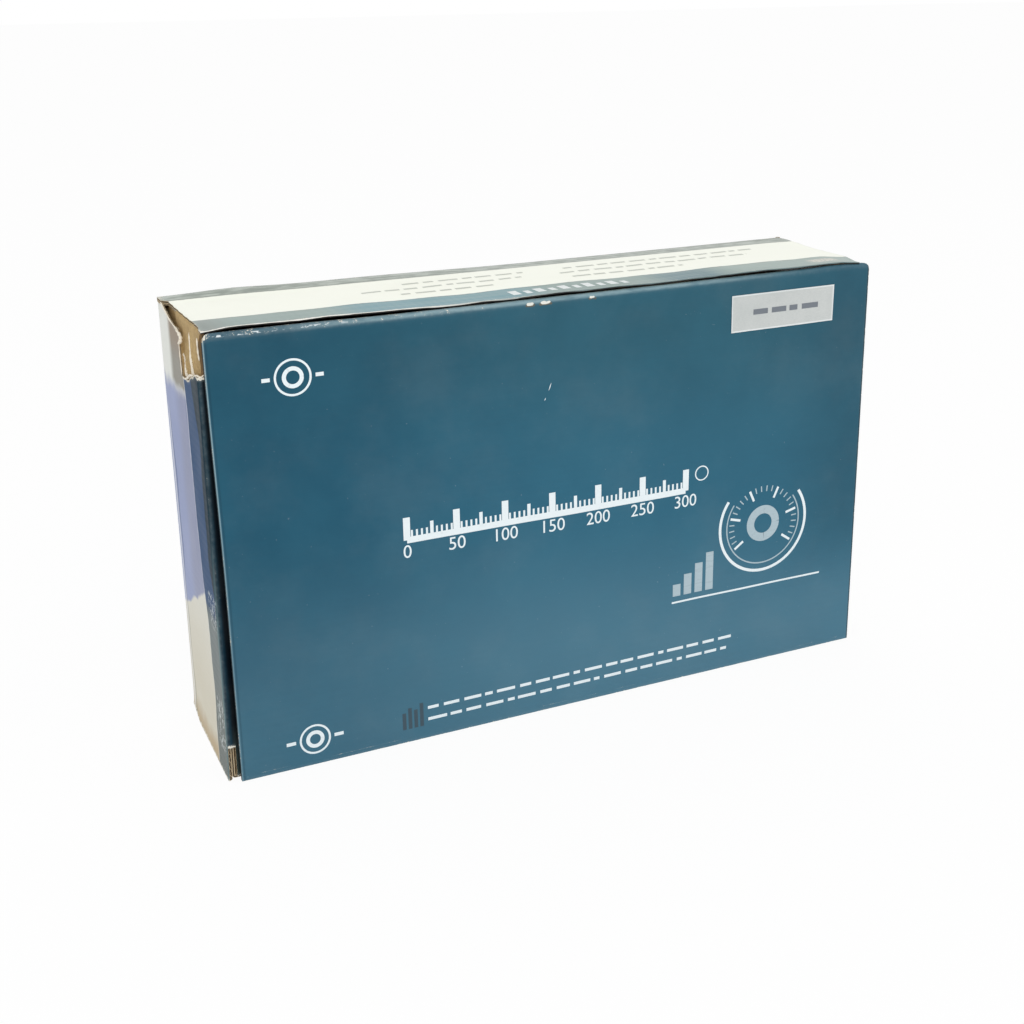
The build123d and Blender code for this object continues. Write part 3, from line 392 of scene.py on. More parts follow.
class Graph:
    """Short ways to place and join the nodes of a material or a node group."""

    def __init__(self, tree):
        self.tree = tree

    def feed(self, socket, value):
        """Links an output to the socket, or sets its value; a colour may be text, as rrggbb."""
        value = linear(value) if isinstance(value, str) else value
        if isinstance(value, bpy.types.NodeSocket):
            self.tree.links.new(value, socket)
        elif socket.type == "RGBA" and len(value) == 3:
            socket.default_value = (*value, 1.0)
        else:
            socket.default_value = value

    def add(self, kind, inputs=None, **settings):
        node = self.tree.nodes.new(kind)
        for name, value in settings.items():
            setattr(node, name, value)
        for name, value in (inputs or {}).items():
            self.feed(node.inputs[name], value)
        return node

    def math(self, operation, *values, clamp=False):
        node = self.add("ShaderNodeMath", operation=operation, use_clamp=clamp)
        for socket, value in zip(node.inputs, values):
            self.feed(socket, value)
        return node.outputs[0]

    times = partialmethod(math, "MULTIPLY")
    plus = partialmethod(math, "ADD")
    minus = partialmethod(math, "SUBTRACT")
    times_plus = partialmethod(math, "MULTIPLY_ADD")

    def mix(self, share, first, second):
        return self.add("ShaderNodeMix", {0: share, 6: first, 7: second}, data_type="RGBA").outputs[2]

    def fade(self, value, start, end, low=0.0, high=1.0):
        """Smooth step from low at start to high at end."""
        inputs = {"Value": value, "From Min": start, "From Max": end, "To Min": low, "To Max": high}
        return self.add("ShaderNodeMapRange", inputs, interpolation_type="SMOOTHSTEP").outputs[0]

    def band(self, value, low, high, soft):
        """1 between low and high, with edges as soft as given."""
        rising = self.fade(value, low - soft, low + soft)
        return self.times(rising, self.fade(value, high + soft, high - soft))

    def noise(self, vector, scale, detail=4.0, rough=0.5):
        inputs = {"Vector": vector, "Scale": scale, "Detail": detail, "Roughness": rough}
        return self.add("ShaderNodeTexNoise", inputs).outputs["Fac"]

    def stretched(self, vector, scale):
        """The vector with its three parts multiplied by three numbers."""
        return self.add("ShaderNodeVectorMath", {0: vector, 1: scale}, operation="MULTIPLY").outputs[0]

    def place(self):
        """Object coordinates in millimetres."""
        coordinates = self.add("ShaderNodeTexCoord").outputs["Object"]
        return self.add("ShaderNodeVectorMath", {0: coordinates, "Scale": 1 / MM}, operation="SCALE").outputs[0]

    def surface_map(self):
        """The piece's own UV, in millimetres."""
        return self.add("ShaderNodeUVMap", uv_map="Surface").outputs[0]

    def parts(self, vector):
        return self.add("ShaderNodeSeparateXYZ", {0: vector}).outputs[:]

    def attribute(self, name):
        return self.add("ShaderNodeAttribute", attribute_name=name).outputs["Fac"]

    def use(self, group, **inputs):
        node = self.add("ShaderNodeGroup", node_tree=group)
        for name, value in inputs.items():
            self.feed(node.inputs[name], value)
        return node.outputs


def node_group(name, inputs, *outputs):
    """Turns build(g, given) into a function that returns its shader node group, built once. Inputs are their
    defaults by name, with None for a vector; outputs are the names of values."""

    def make(build):
        group = bpy.data.node_groups.new(name, "ShaderNodeTree")
        for label, default in inputs.items():
            kind = "NodeSocketVector" if default is None else "NodeSocketFloat"
            socket = group.interface.new_socket(label, in_out="INPUT", socket_type=kind)
            if default is not None:
                socket.default_value = default
        for label in outputs:
            group.interface.new_socket(label, in_out="OUTPUT", socket_type="NodeSocketFloat")
        g = Graph(group)
        given = g.add("NodeGroupInput").outputs
        result = g.add("NodeGroupOutput")
        for label, socket in build(g, given).items():
            g.feed(result.inputs[label], socket)
        return group

    return lambda build: lambda: bpy.data.node_groups.get(name) or make(build)


@node_group("Paper Fibre", {"Vector": None, "Amount": 1.0}, "Height", "Shade")
def fibre_group(g, given):
    """Paper fibres: a fine stretched noise over a coarse one."""
    vector = given["Vector"]
    fine = g.noise(g.stretched(vector, (0.5, 1.0, 1.7)), 2.2, 5.0, 0.65)
    coarse = g.noise(vector, 0.09, 3.0, 0.5)
    shade = g.plus(g.fade(fine, 0.3, 0.7, -0.5, 0.5), g.fade(coarse, 0.3, 0.7, -0.2, 0.2))
    return {"Height": g.times(fine, given["Amount"]), "Shade": g.times_plus(shade, 0.5, 0.5)}


@node_group("Flutes Through Liner", {"Vector": None, "Across": 0.0, "Pitch": 2.6}, "Height")
def flute_group(g, given):
    """Flutes that show through a liner: a sine across them, uneven in strength."""
    turns = g.times(g.math("DIVIDE", given["Across"], given["Pitch"]), 2 * math.pi)
    ripple = g.math("SINE", g.times_plus(g.noise(given["Vector"], 0.05, 3.0, 0.6), 2.0, turns))
    strength = g.fade(g.noise(given["Vector"], 0.021, 2.0, 0.5), 0.3, 0.7, 0.35, 1.0)
    return {"Height": g.times(ripple, strength)}


@node_group("Rubbed Print", {"Vector": None, "Worn": 0.0, "Amount": 1.0}, "Chip", "Rub")
def wear_group(g, given):
    """Rubbed and chipped print: the wear value decides how much of a noise is bare."""
    coarse = g.noise(given["Vector"], 0.55, 6.0, 0.62)
    fine = g.noise(given["Vector"], 2.4, 4.0, 0.6)
    mixed = g.times_plus(fine, 0.45, g.times(coarse, 0.55))
    level = g.times(given["Worn"], given["Amount"])
    limit = g.minus(0.78, g.times(level, 0.55))
    return {"Chip": g.fade(g.minus(mixed, limit), -0.02, 0.03),
            "Rub": g.times(g.fade(coarse, 0.25, 0.75, 0.3, 1.0), level, clamp=True)}


@node_group("Dust", {"Vector": None, "Scale": 1.0}, "Smudge", "Specks")
def dust_group(g, given):
    """Dust, specks and smudges: a soft cloud and a few small spots."""
    vector, scale = given["Vector"], given["Scale"]
    return {"Smudge": g.fade(g.noise(vector, g.times(scale, 0.03), 5.0, 0.6), 0.42, 0.75),
            "Specks": g.fade(g.noise(vector, g.times(scale, 1.1), 2.0, 0.5), 0.74, 0.80)}


@node_group("Plain Weave", {"Vector": None, "Pitch": 0.6}, "Height", "Shade")
def weave_group(g, given):
    """Plain weave on a UV in millimetres: warp and weft threads are sines that pass over each other by turns."""
    turns = [g.times(g.math("DIVIDE", part, given["Pitch"]), math.pi) for part in g.parts(given["Vector"])[:2]]
    warp, weft = (g.math("ABSOLUTE", g.math("SINE", turn)) for turn in turns)
    over = g.fade(g.times(*(g.math("COSINE", turn) for turn in turns)), -0.3, 0.3)
    height = g.plus(g.times(warp, over), g.times(weft, g.minus(1.0, over)))
    fuzz = g.noise(given["Vector"], 1.6, 3.0, 0.6)
    return {"Height": g.times_plus(fuzz, 0.35, height), "Shade": g.times(height, fuzz)}


@node_group("Tool Marks", {"Vector": None, "Stretch": None}, "Marks", "Stains")
def brushed_group(g, given):
    """Fine tool marks: a noise stretched along one direction."""
    marks = g.noise(g.stretched(given["Vector"], given["Stretch"]), 1.0, 5.0, 0.65)
    return {"Marks": marks, "Stains": g.fade(g.noise(given["Vector"], 0.12, 4.0, 0.6), 0.4, 0.7)}


def material(name, build, depth=0.1, strength=1.0, **constants):
    """A Principled material. build(g) gives the linked sockets, with Height in units of depth millimetres; the
    constants are the shader's own socket values, with spaces written as underscores."""
    made = bpy.data.materials.get(name)
    if made:
        return made
    made = bpy.data.materials.new(name)
    made.use_nodes = True
    tree = made.node_tree
    shader = next(n for n in tree.nodes if n.type == "BSDF_PRINCIPLED")
    g = Graph(tree)
    for label, value in constants.items():
        g.feed(shader.inputs[label.replace("_", " ")], value)
    sockets = build(g)
    height = sockets.pop("Height", None)
    if height is not None:
        bump = g.add("ShaderNodeBump", {"Height": height, "Distance": depth * MM, "Strength": strength})
        sockets["Normal"] = bump.outputs[0]
    for label, value in sockets.items():
        g.feed(shader.inputs[label], value)
    return made


def look(name, **options):
    """Turns build(g) into a function that returns its material."""
    return lambda build: lambda: material(name, build, **options)


def carton_settings():
    return bpy.context.scene.sphyg_carton


def instrument_settings():
    return bpy.context.scene.sphyg_instrument


def stage_settings():
    return bpy.context.scene.sphyg_stage


# Bump of every printed panel
PRINTED_BOARD = {"depth": 0.10, "strength": 0.8}


def board_finish(g, vector, base, across):
    """Adds to a printed colour what every printed panel has: flutes, fibres, rubbed folds, chips and dust."""
    settings = carton_settings()
    pitch = settings.flute_pitch / MM
    flutes = g.use(flute_group(), Vector=vector, Across=across, Pitch=pitch)["Height"]
    fibre = g.use(fibre_group(), Vector=vector)
    wear = g.use(wear_group(), Vector=vector, Worn=g.attribute("worn"), Amount=settings.wear / 0.6)
    dust = g.use(dust_group(), Vector=vector)
    rubbed = g.mix(g.times(wear["Rub"], 0.55), base, "b9c4c4")
    paper = g.mix(fibre["Shade"], "cfc8b4", "f1efe6")
    chipped = g.mix(wear["Chip"], rubbed, paper)
    dusty = g.mix(g.times(dust["Smudge"], 0.03), chipped, "c8c8c0")
    colour = g.mix(g.times(dust["Specks"], 0.12), dusty, "dde2e2")
    rough = g.plus(g.fade(dust["Smudge"], 0, 1, 0.30, 0.40), g.times(wear["Chip"], 0.35))
    height = g.times_plus(fibre["Height"], 0.12, g.times(flutes, 0.20))
    height = g.minus(height, g.times(wear["Chip"], 0.5))
    return {"Base Color": colour, "Roughness": rough, "Height": height}


@look("Lid print", **PRINTED_BOARD, Coat_Weight=0.02, Coat_Roughness=0.2, Specular_IOR_Level=0.12)
def lid_print(g):
    """The lid's print: full in the middle, darker along the top (partly print, partly painted shade) and paler and
    greyer at the foot as a painted sheen, with painted shade towards the left and right edges; rubbed pale on the top
    fold and along the left edge, with a painted shadow round its torn chips."""
    settings = carton_settings()
    vector = g.place()
    x, _, z = g.parts(vector)
    slant = g.times_plus(x, 0.12, z)
    # Painted light: darker towards the top (partly print, partly painted shade), paler towards the foot as a painted
    # sheen.
    upper = g.mix(g.fade(slant, 70, 150), settings.lid_colour[:], settings.lid_top_colour[:])
    ink = g.mix(g.fade(slant, 78, 20), upper, settings.lid_foot_colour[:])
    # Painted shade: darker towards the lid's left edge, most towards the head.
    deep = g.times(g.fade(x, 10, -112, 0.0, 0.58), g.fade(z, 0, 80, 0.6, 1.0))
    ink = g.mix(deep, ink, "063f55")
    # Painted shade: darker towards the lid's right edge, above the foot.
    ink = g.mix(g.times(g.fade(x, 80, 116), g.fade(z, 20, 60, 0.0, 0.6)), ink, "244e60")
    mottled = g.mix(g.fade(g.noise(vector, 0.035, 4.0, 0.6), 0.3, 0.7, 0.0, 0.12), ink, "3f7d93")
    streaks = g.noise(g.stretched(vector, (0.2, 1.0, 1.0)), 0.9, 4.0, 0.6)
    fold = g.times(g.fade(z, 146.9, 148.1, 0.0, 0.8), g.band(x, -84, 70, 34.0))
    rubbed = g.mix(g.times(fold, g.fade(streaks, 0.3, 0.6, 0.5, 1.0)), mottled, "8aa6ae")
    spots = g.noise(g.stretched(vector, (0.5, 1.0, 1.0)), 0.9, 3.0, 0.5)
    specks = g.times(g.band(z, 148.0, 148.5, 0.25), g.fade(spots, 0.52, 0.6))
    specks = g.times(specks, g.fade(x, -64, -90))
    specked = g.mix(specks, rubbed, "eef6f8")
    torn = g.noise(vector, 0.8, 4.0, 0.6)
    for left, right in ((-14.6, -12.0), (-9.8, -5.8), (8.2, 10.6)):
        near = g.times(g.band(x, left - 0.5, right + 0.5, 0.9), g.band(z, 146.4, 147.6, 0.7))
        # Painted shadow: a brown ring round each torn chip.
        specked = g.mix(g.fade(g.times(near, torn), 0.26, 0.34), specked, "5d5b50")
        bare = g.times(g.band(x, left, right, 0.7), g.band(z, 146.8, 147.9, 0.5))
        specked = g.mix(g.fade(g.times(bare, torn), 0.3, 0.36), specked, "e6e5dc")
    across = g.plus(x, g.fade(z, 60, 148, 0.0, LID_LEAN))
    dark = g.mix(g.times(g.band(across, -118.6, -118.1, 0.25), 0.35), specked, "16303d")
    edge = g.times(g.fade(across, -118.75, -119.05), g.fade(z, 20, 120, 0.25, 0.55))
    dark = g.mix(g.fade(x, 121.4, 121.9, 0.0, 0.7), dark, "0f2430")
    return board_finish(g, vector, g.mix(edge, dark, "a3bfc6"), z)


def kraft(name="Kraft liner", code=None):
    """Bare brown liner with its fibres and flute lines."""

    def build(g):
        vector = g.place()
        colour = code or carton_settings().kraft_colour[:]
        fibre = g.use(fibre_group(), Vector=vector)
        _, _, z = g.parts(vector)
        flutes = g.use(flute_group(), Vector=vector, Across=z, Pitch=carton_settings().flute_pitch / MM)["Height"]
        shaded = g.mix(fibre["Shade"], toned(colour, 0.72), toned(colour, 1.16))
        lined = g.mix(g.fade(flutes, 0.2, 1.0, 0, 0.10), shaded, "6f5a38")
        height = g.times_plus(flutes, 0.3, fibre["Height"])
        return {"Base Color": lined, "Roughness": g.fade(fibre["Shade"], 0, 1, 0.75, 0.9), "Height": height}

    return material(name, build, depth=0.12, strength=0.8)


def cut_edge(wavy):
    """The cut edge of the board on its own UV: two liners, and between them the flute as a wave or as long tubes; the
    hollows between the paper are painted dark as shade.
    """
    name = "Cut edge across flutes" if wavy else "Cut edge along flutes"

    def build(g):
        pitch = carton_settings().flute_pitch / MM
        uv = g.surface_map()
        run, depth, _ = g.parts(uv)
        run = g.times_plus(g.noise(uv, 0.3, 3.0), 1.2, run)
        swing = g.math("SINE", g.times(run, 2 * math.pi / pitch)) if wavy else 0.25
        middle = g.times_plus(swing, BOARD / 2 - 0.25, BOARD / 2)
        flute = g.fade(g.math("ABSOLUTE", g.minus(depth, middle)), 0.26, 0.16)
        liner = g.fade(g.math("ABSOLUTE", g.minus(depth, BOARD / 2)), BOARD / 2 - 0.28, BOARD / 2 - 0.2)
        paper = g.math("MAXIMUM", flute, liner)
        fibre = g.use(fibre_group(), Vector=g.place())
        pale = g.mix(fibre["Shade"], "a88f66", "ded2b8")
        # Painted shade: the hollows between the liners and the flute are dark brown.
        colour = g.mix(paper, "3c2f20", pale)
        return {"Base Color": colour, "Roughness": 0.9, "Height": paper}

    return material(name, build, depth=0.35, strength=0.8)


@look("Top front edge", depth=0.3, strength=0.8)
def front_rim(g):
    """The top's front edge: its printed liner shows as a white line that dies out to the right, over flutes painted
    near black as shadow.
    """
    vector = g.place()
    x, _, _ = g.parts(vector)
    _, depth, _ = g.parts(g.surface_map())
    fibre = g.use(fibre_group(), Vector=vector)
    reach = g.fade(g.noise(g.stretched(vector, (0.15, 1, 1)), 0.6, 3.0), 0.35, 0.65, 0.45, 1.0)
    liner = g.fade(g.minus(depth, reach), 0.12, -0.12)
    white = g.mix(g.fade(x, -75, 20), "f3f1ea", "6d7f80")
    # Painted shadow: the flutes under the white line are near black, brown only where the fibre is pale.
    dark = g.mix(g.fade(fibre["Shade"], 0.5, 0.95), "0b0c0d", "4a3b26")
    return {"Base Color": g.mix(liner, dark, white), "Roughness": 0.85, "Height": liner}


def plain_paper(name, colour, rough=0.7, tint="8f9a9a"):
    """Paper with fibres and a little grey."""

    def build(g):
        vector = g.place()
        fibre = g.use(fibre_group(), Vector=vector)
        dust = g.use(dust_group(), Vector=vector, Scale=2.0)
        shaded = g.mix(g.fade(fibre["Shade"], 0, 1, 0.0, 0.25), colour, tint)
        worn = g.mix(g.times(g.attribute("worn"), 0.7), shaded, "eef3f4")
        return {"Base Color": g.mix(g.times(dust["Smudge"], 0.2), worn, tint),
                "Roughness": g.fade(fibre["Shade"], 0, 1, rough - 0.1, rough + 0.1), "Height": fibre["Height"]}

    return material(name, build, depth=0.04)


def ink(name, colour, rough=0.35):
    """Opaque ink on the print below, a little thin in places."""

    def build(g):
        vector = g.place()
        thin = g.fade(g.noise(vector, 1.4, 4.0, 0.6), 0.62, 0.78)
        flutes = g.noise(g.stretched(vector, (0.2, 1.0, 1.0)), 0.7, 3.0)
        base = g.mix(g.times(thin, 0.45), colour, "5f8494")
        return {"Base Color": base, "Roughness": g.fade(flutes, 0.3, 0.7, rough - 0.06, rough + 0.08)}

    return material(name, build)


def rubber(name, colour, rough):
    """Moulded rubber: fine grain, a dusty bloom and faint rub marks."""

    def build(g):
        vector = g.place()
        grain = g.noise(vector, 3.0, 5.0, 0.6)
        dust = g.use(dust_group(), Vector=vector, Scale=2.5)
        bloom = g.mix(g.times(dust["Smudge"], 0.25), colour, "4a4a4c")
        return {"Base Color": g.mix(g.times(dust["Specks"], 0.2), bloom, "7b7b7d"),
                "Roughness": g.fade(grain, 0.3, 0.7, rough - 0.08, rough + 0.12), "Height": grain}

    return material(name, build, depth=0.05, Specular_IOR_Level=0.45)


def metal(name, colour, rough, stretch=(0.15, 3.0, 3.0), stain_and_reflection="5a4a30"):
    """Metal with fine tool marks and faint stains."""

    def build(g):
        vector = g.place()
        marks = g.use(brushed_group(), Vector=vector, Stretch=stretch)
        tone = g.mix(g.fade(marks["Marks"], 0.3, 0.7, 0.0, 0.2), colour, toned(colour, 0.75))
        aged = g.mix(g.times(marks["Stains"], 0.12), tone, stain_and_reflection)
        return {"Base Color": aged, "Roughness": g.fade(marks["Marks"], 0.25, 0.75, rough * 0.7, rough * 1.5),
                "Height": marks["Marks"]}

    return material(name, build, depth=0.01, Metallic=1.0)


def paint(name, colour, rough=0.35, fleck="9fa3a8"):
    """Baked paint with a slight orange peel and small flecks."""

    def build(g):
        vector = g.place()
        peel = g.noise(vector, 1.2, 3.0, 0.5)
        dust = g.use(dust_group(), Vector=vector, Scale=3.0)
        tone = g.mix(g.times(dust["Specks"], 0.35), colour, fleck)
        return {"Base Color": tone, "Roughness": g.fade(peel, 0.3, 0.7, rough - 0.05, rough + 0.08), "Height": peel}

    return material(name, build, depth=0.02)


@look("Clear lens", Base_Color=(0.97, 0.985, 0.99), Transmission_Weight=1.0, IOR=1.46)
def clear_lens(g):
    """Clear plastic with a trace of dust in its gloss."""
    dust = g.use(dust_group(), Vector=g.place(), Scale=3.0)
    return {"Roughness": g.fade(dust["Smudge"], 0, 1, 0.02, 0.06)}


def pile(name, colour):
    """Hook and loop pile: dense small tufts."""

    def build(g):
        vector = g.place()
        tufts = g.add("ShaderNodeTexVoronoi", {"Vector": vector, "Scale": 1.35}).outputs["Distance"]
        fuzz = g.noise(vector, 5.0, 4.0, 0.6)
        height = g.times_plus(fuzz, 0.4, g.fade(tufts, 0.55, 0.1))
        tone = g.mix(g.fade(height, 0.2, 1.2), toned(colour, 0.5), toned(colour, 1.7))
        return {"Base Color": tone, "Roughness": g.fade(fuzz, 0, 1, 0.75, 0.95), "Height": height}

    return material(name, build, depth=0.35, Sheen_Weight=0.25)


# Carton


def board_materials(face, *more, wavy=False):
    """A board's finishes: its face, its bare liner and its cut edge, which runs across the flutes where wavy."""
    return [face, kraft(), cut_edge(wavy), *more]


def lid_warp(x, z):
    """How far the lid's face stands off its plane: a gentle unevenness that dies out at the edges."""
    inside = smooth(x, lid_low[0], lid_low[0] + 25) * smooth(-x, -lid_high[0], -lid_high[0] + 25)
    inside = inside * smooth(z, 0, 20) * smooth(-z, -lid_high[2], -lid_high[2] + 20)
    return 0.28 * wave(x, z, 96.0, 0.8) * inside


def lid_wear(u, v):
    """Worn value of the lid: folds and corners, most along the left third of the top fold."""
    right, top = lid_high[0] - u, lid_high[2] - v
    left = u - lid_low[0]
    top_left = 1 - 0.55 * smooth(u, -60, 20)
    fold = 0.34 * (1 - smooth(top, 0.2, 2.0)) * top_left
    sides = 0.1 * (1 - smooth(left, 0.1, 0.8)) + 0.1 * (1 - smooth(right, 0.2, 1.2))
    foot = 0.12 * (1 - smooth(v, 0.3, 1.5))
    corner = 1 - smooth(np.hypot(left, top), 0.8, 2.6)
    return np.clip(fold + sides + foot + 0.25 * corner, 0, 1.0)


def lean(x, y, z):
    """How far the worn left side leans in: its back nearly evenly, its front more towards the head and out at the
    foot. The share of the front and of the back goes evenly with the depth."""
    height = np.clip(z / CARTON_TOP, 0, 1)
    front, back = 1.35 * height**0.7 - 0.7, 0.75 * height**0.2
    share = np.clip((y - left_low[1]) / (CARTON_BACK - left_low[1]), 0, 1)
    return (front + (back - front) * share) * smooth(-x, 95, 118)


def slumped(x, y, z, leaning=1.0):
    """A point of the worn tray: the left side leans and the back corner of its foot is rounded off."""
    x, y, z = np.broadcast_arrays(x, y, z)
    rise = 3.4 * smooth(y, 16, 28) * smooth(-x, 117, 122) * (1 - smooth(z, 0, 12))
    return stacked(x + leaning * lean(x, y, z), y, z + rise)


# How far the lid's head stands up at its ends, and how far its left edge leans out there
LID_RISE, LID_LEAN = 0.85, 0.9


def head_sag(x):
    """How far the lid's head hangs between its ends: a plateau with a smooth step at each side."""
    return 0.4 * smooth(x, -95, -60) * (1 - smooth(x, 92, 112))


def make_lid():
    """The lid: a flat board whose top edge turns back in an arc as thick as the board. Its head stands a little high
    and its left edge leans out towards the head."""
    head = lid_high[2] + LID_RISE
    path = round_path([(LID_FACE, lid_low[2]), (LID_FACE, head), (LID_FACE + BOARD, head)], [BOARD])
    corner = 3.2

    def place(u, v, w):
        y, z = along(path, v, -w)
        u = np.broadcast_to(u, np.shape(z))
        leaning = LID_LEAN * smooth(z, 60, 148) * smooth(-u, -lid_low[0] - 14, -lid_low[0])
        sinking = (0.55 * smooth(u, 104, lid_high[0]) + head_sag(u)) * smooth(z, 130, 148)
        return stacked(u - leaning, y + lid_warp(u, z), z - sinking)

    rows = even(lid_low[0], lid_high[0], 3.0, edge=(0.3, 0.8, 1.5, 2.4))
    inset = np.maximum(0, corner - np.minimum(rows - lid_low[0], lid_high[0] - rows))
    shorter = corner - np.sqrt(np.maximum(0, corner**2 - inset**2))
    runs = fine_runs(path, 3.0)
    runs = together(runs, path[0][-1] - BOARD * 1.6 - np.array([0.4, 1.0, 2.0, 3.2]), [0.4, 1.2])
    # The lid's left cut edge is painted near black as the shadow in the gap beside the left side.
    board_piece("carton_lid", ("lid", "lid_panel"), board_materials(lid_print(), kraft("Painted shade edge", "1b2c34")), place,
                rows, path[0][0], path[0][-1] - shorter, runs / runs[-1], worn=lid_wear, slots=(0, 1, 3, 2, 2, 2))


def make_hinge_fold():
    """The liner that bends round the lid's hinge, from under the bottom wall to the lid's face."""
    reach = 1.6
    path = round_path([(bottom_low[1], 0.02), (LID_FACE, 0.02), (LID_FACE, lid_low[2] + reach)], [1.5], arc_steps=8)

    def place(u, v, w):
        y, z = along(path, v, -w)
        return stacked(u, y, z)

    surface = Surface()
    runs = fine_runs(path, 1.0)
    board(surface, place, even(lid_low[0] + 2, top_high[0] - 1, 4.0), 0.0, runs[-1], runs / runs[-1], thick=0.4,
          worn=lambda u, v: 0.45 * (1 - smooth(v, runs[-1] - 2.0, runs[-1] - 1.0)))
    piece = surface.build("carton_hinge_fold", [lid_print(), kraft(), lid_print()])
    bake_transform(piece)


# Depths at which the top's pale band begins and ends
TOP_LINES = (-14.1, 19.4)


@look("Top print", **PRINTED_BOARD, Coat_Weight=0.01, Coat_Roughness=0.25, Specular_IOR_Level=0.08)
def top_print(g):
    """The top's print: the pale band between a greyed strip in front and one behind, whose right half has faded to
    two thin lines."""
    settings = carton_settings()
    vector = g.place()
    x, y, _ = g.parts(vector)
    uneven = g.times_plus(g.noise(vector, 0.6, 3.0), 0.5, y)
    slanted = g.times_plus(x, 0.0106, uneven)
    band = settings.band_colour[:]
    patches = g.fade(g.noise(g.stretched(vector, (0.3, 1, 1)), 0.5, 3.0), 0.35, 0.65)
    behind = g.mix(patches, "8d958d", "b3bab2")
    shade = g.fade(g.noise(g.stretched(vector, (0.1, 1, 1)), 0.35, 3.0), 0.3, 0.7, 0.0, 0.25)
    strip = g.mix(g.band(x, -74, -8, 9.0), settings.strip_colour[:], "6c969f")
    strip = g.mix(g.band(x, 38, 62, 7.0), strip, "5f7e85")
    strip = g.mix(g.fade(x, 56, 76), strip, "98a9a3")
    strip = g.mix(shade, strip, "9fb0ac")
    dull = g.times(g.fade(x, -106, -118), 0.7)
    strip = g.mix(dull, strip, "8b8f8a")
    colour = g.mix(g.fade(slanted, TOP_LINES[0] - 0.3, TOP_LINES[0] + 0.5), strip, band)
    colour = g.mix(g.fade(slanted, TOP_LINES[1] - 0.1, TOP_LINES[1] + 0.7), colour, behind)
    for line, strength in ((TOP_LINES[0] - 0.2, 0.7), (TOP_LINES[1] + 0.9, 0.65), (27.4, 0.5)):
        edge = g.times(g.band(slanted, line - 0.3, line + 0.3, 0.25), g.times(patches, strength))
        colour = g.mix(edge, colour, "4a4a40")
    scuff = g.times(g.band(x, 101, 112, 2.0), g.band(y, -24.5, -19.5, 1.5))
    scuff = g.times(scuff, g.fade(g.noise(vector, 1.2, 4.0), 0.4, 0.6, 0.3, 1.0))
    return board_finish(g, vector, g.mix(scuff, colour, "dcd4c8"), x)


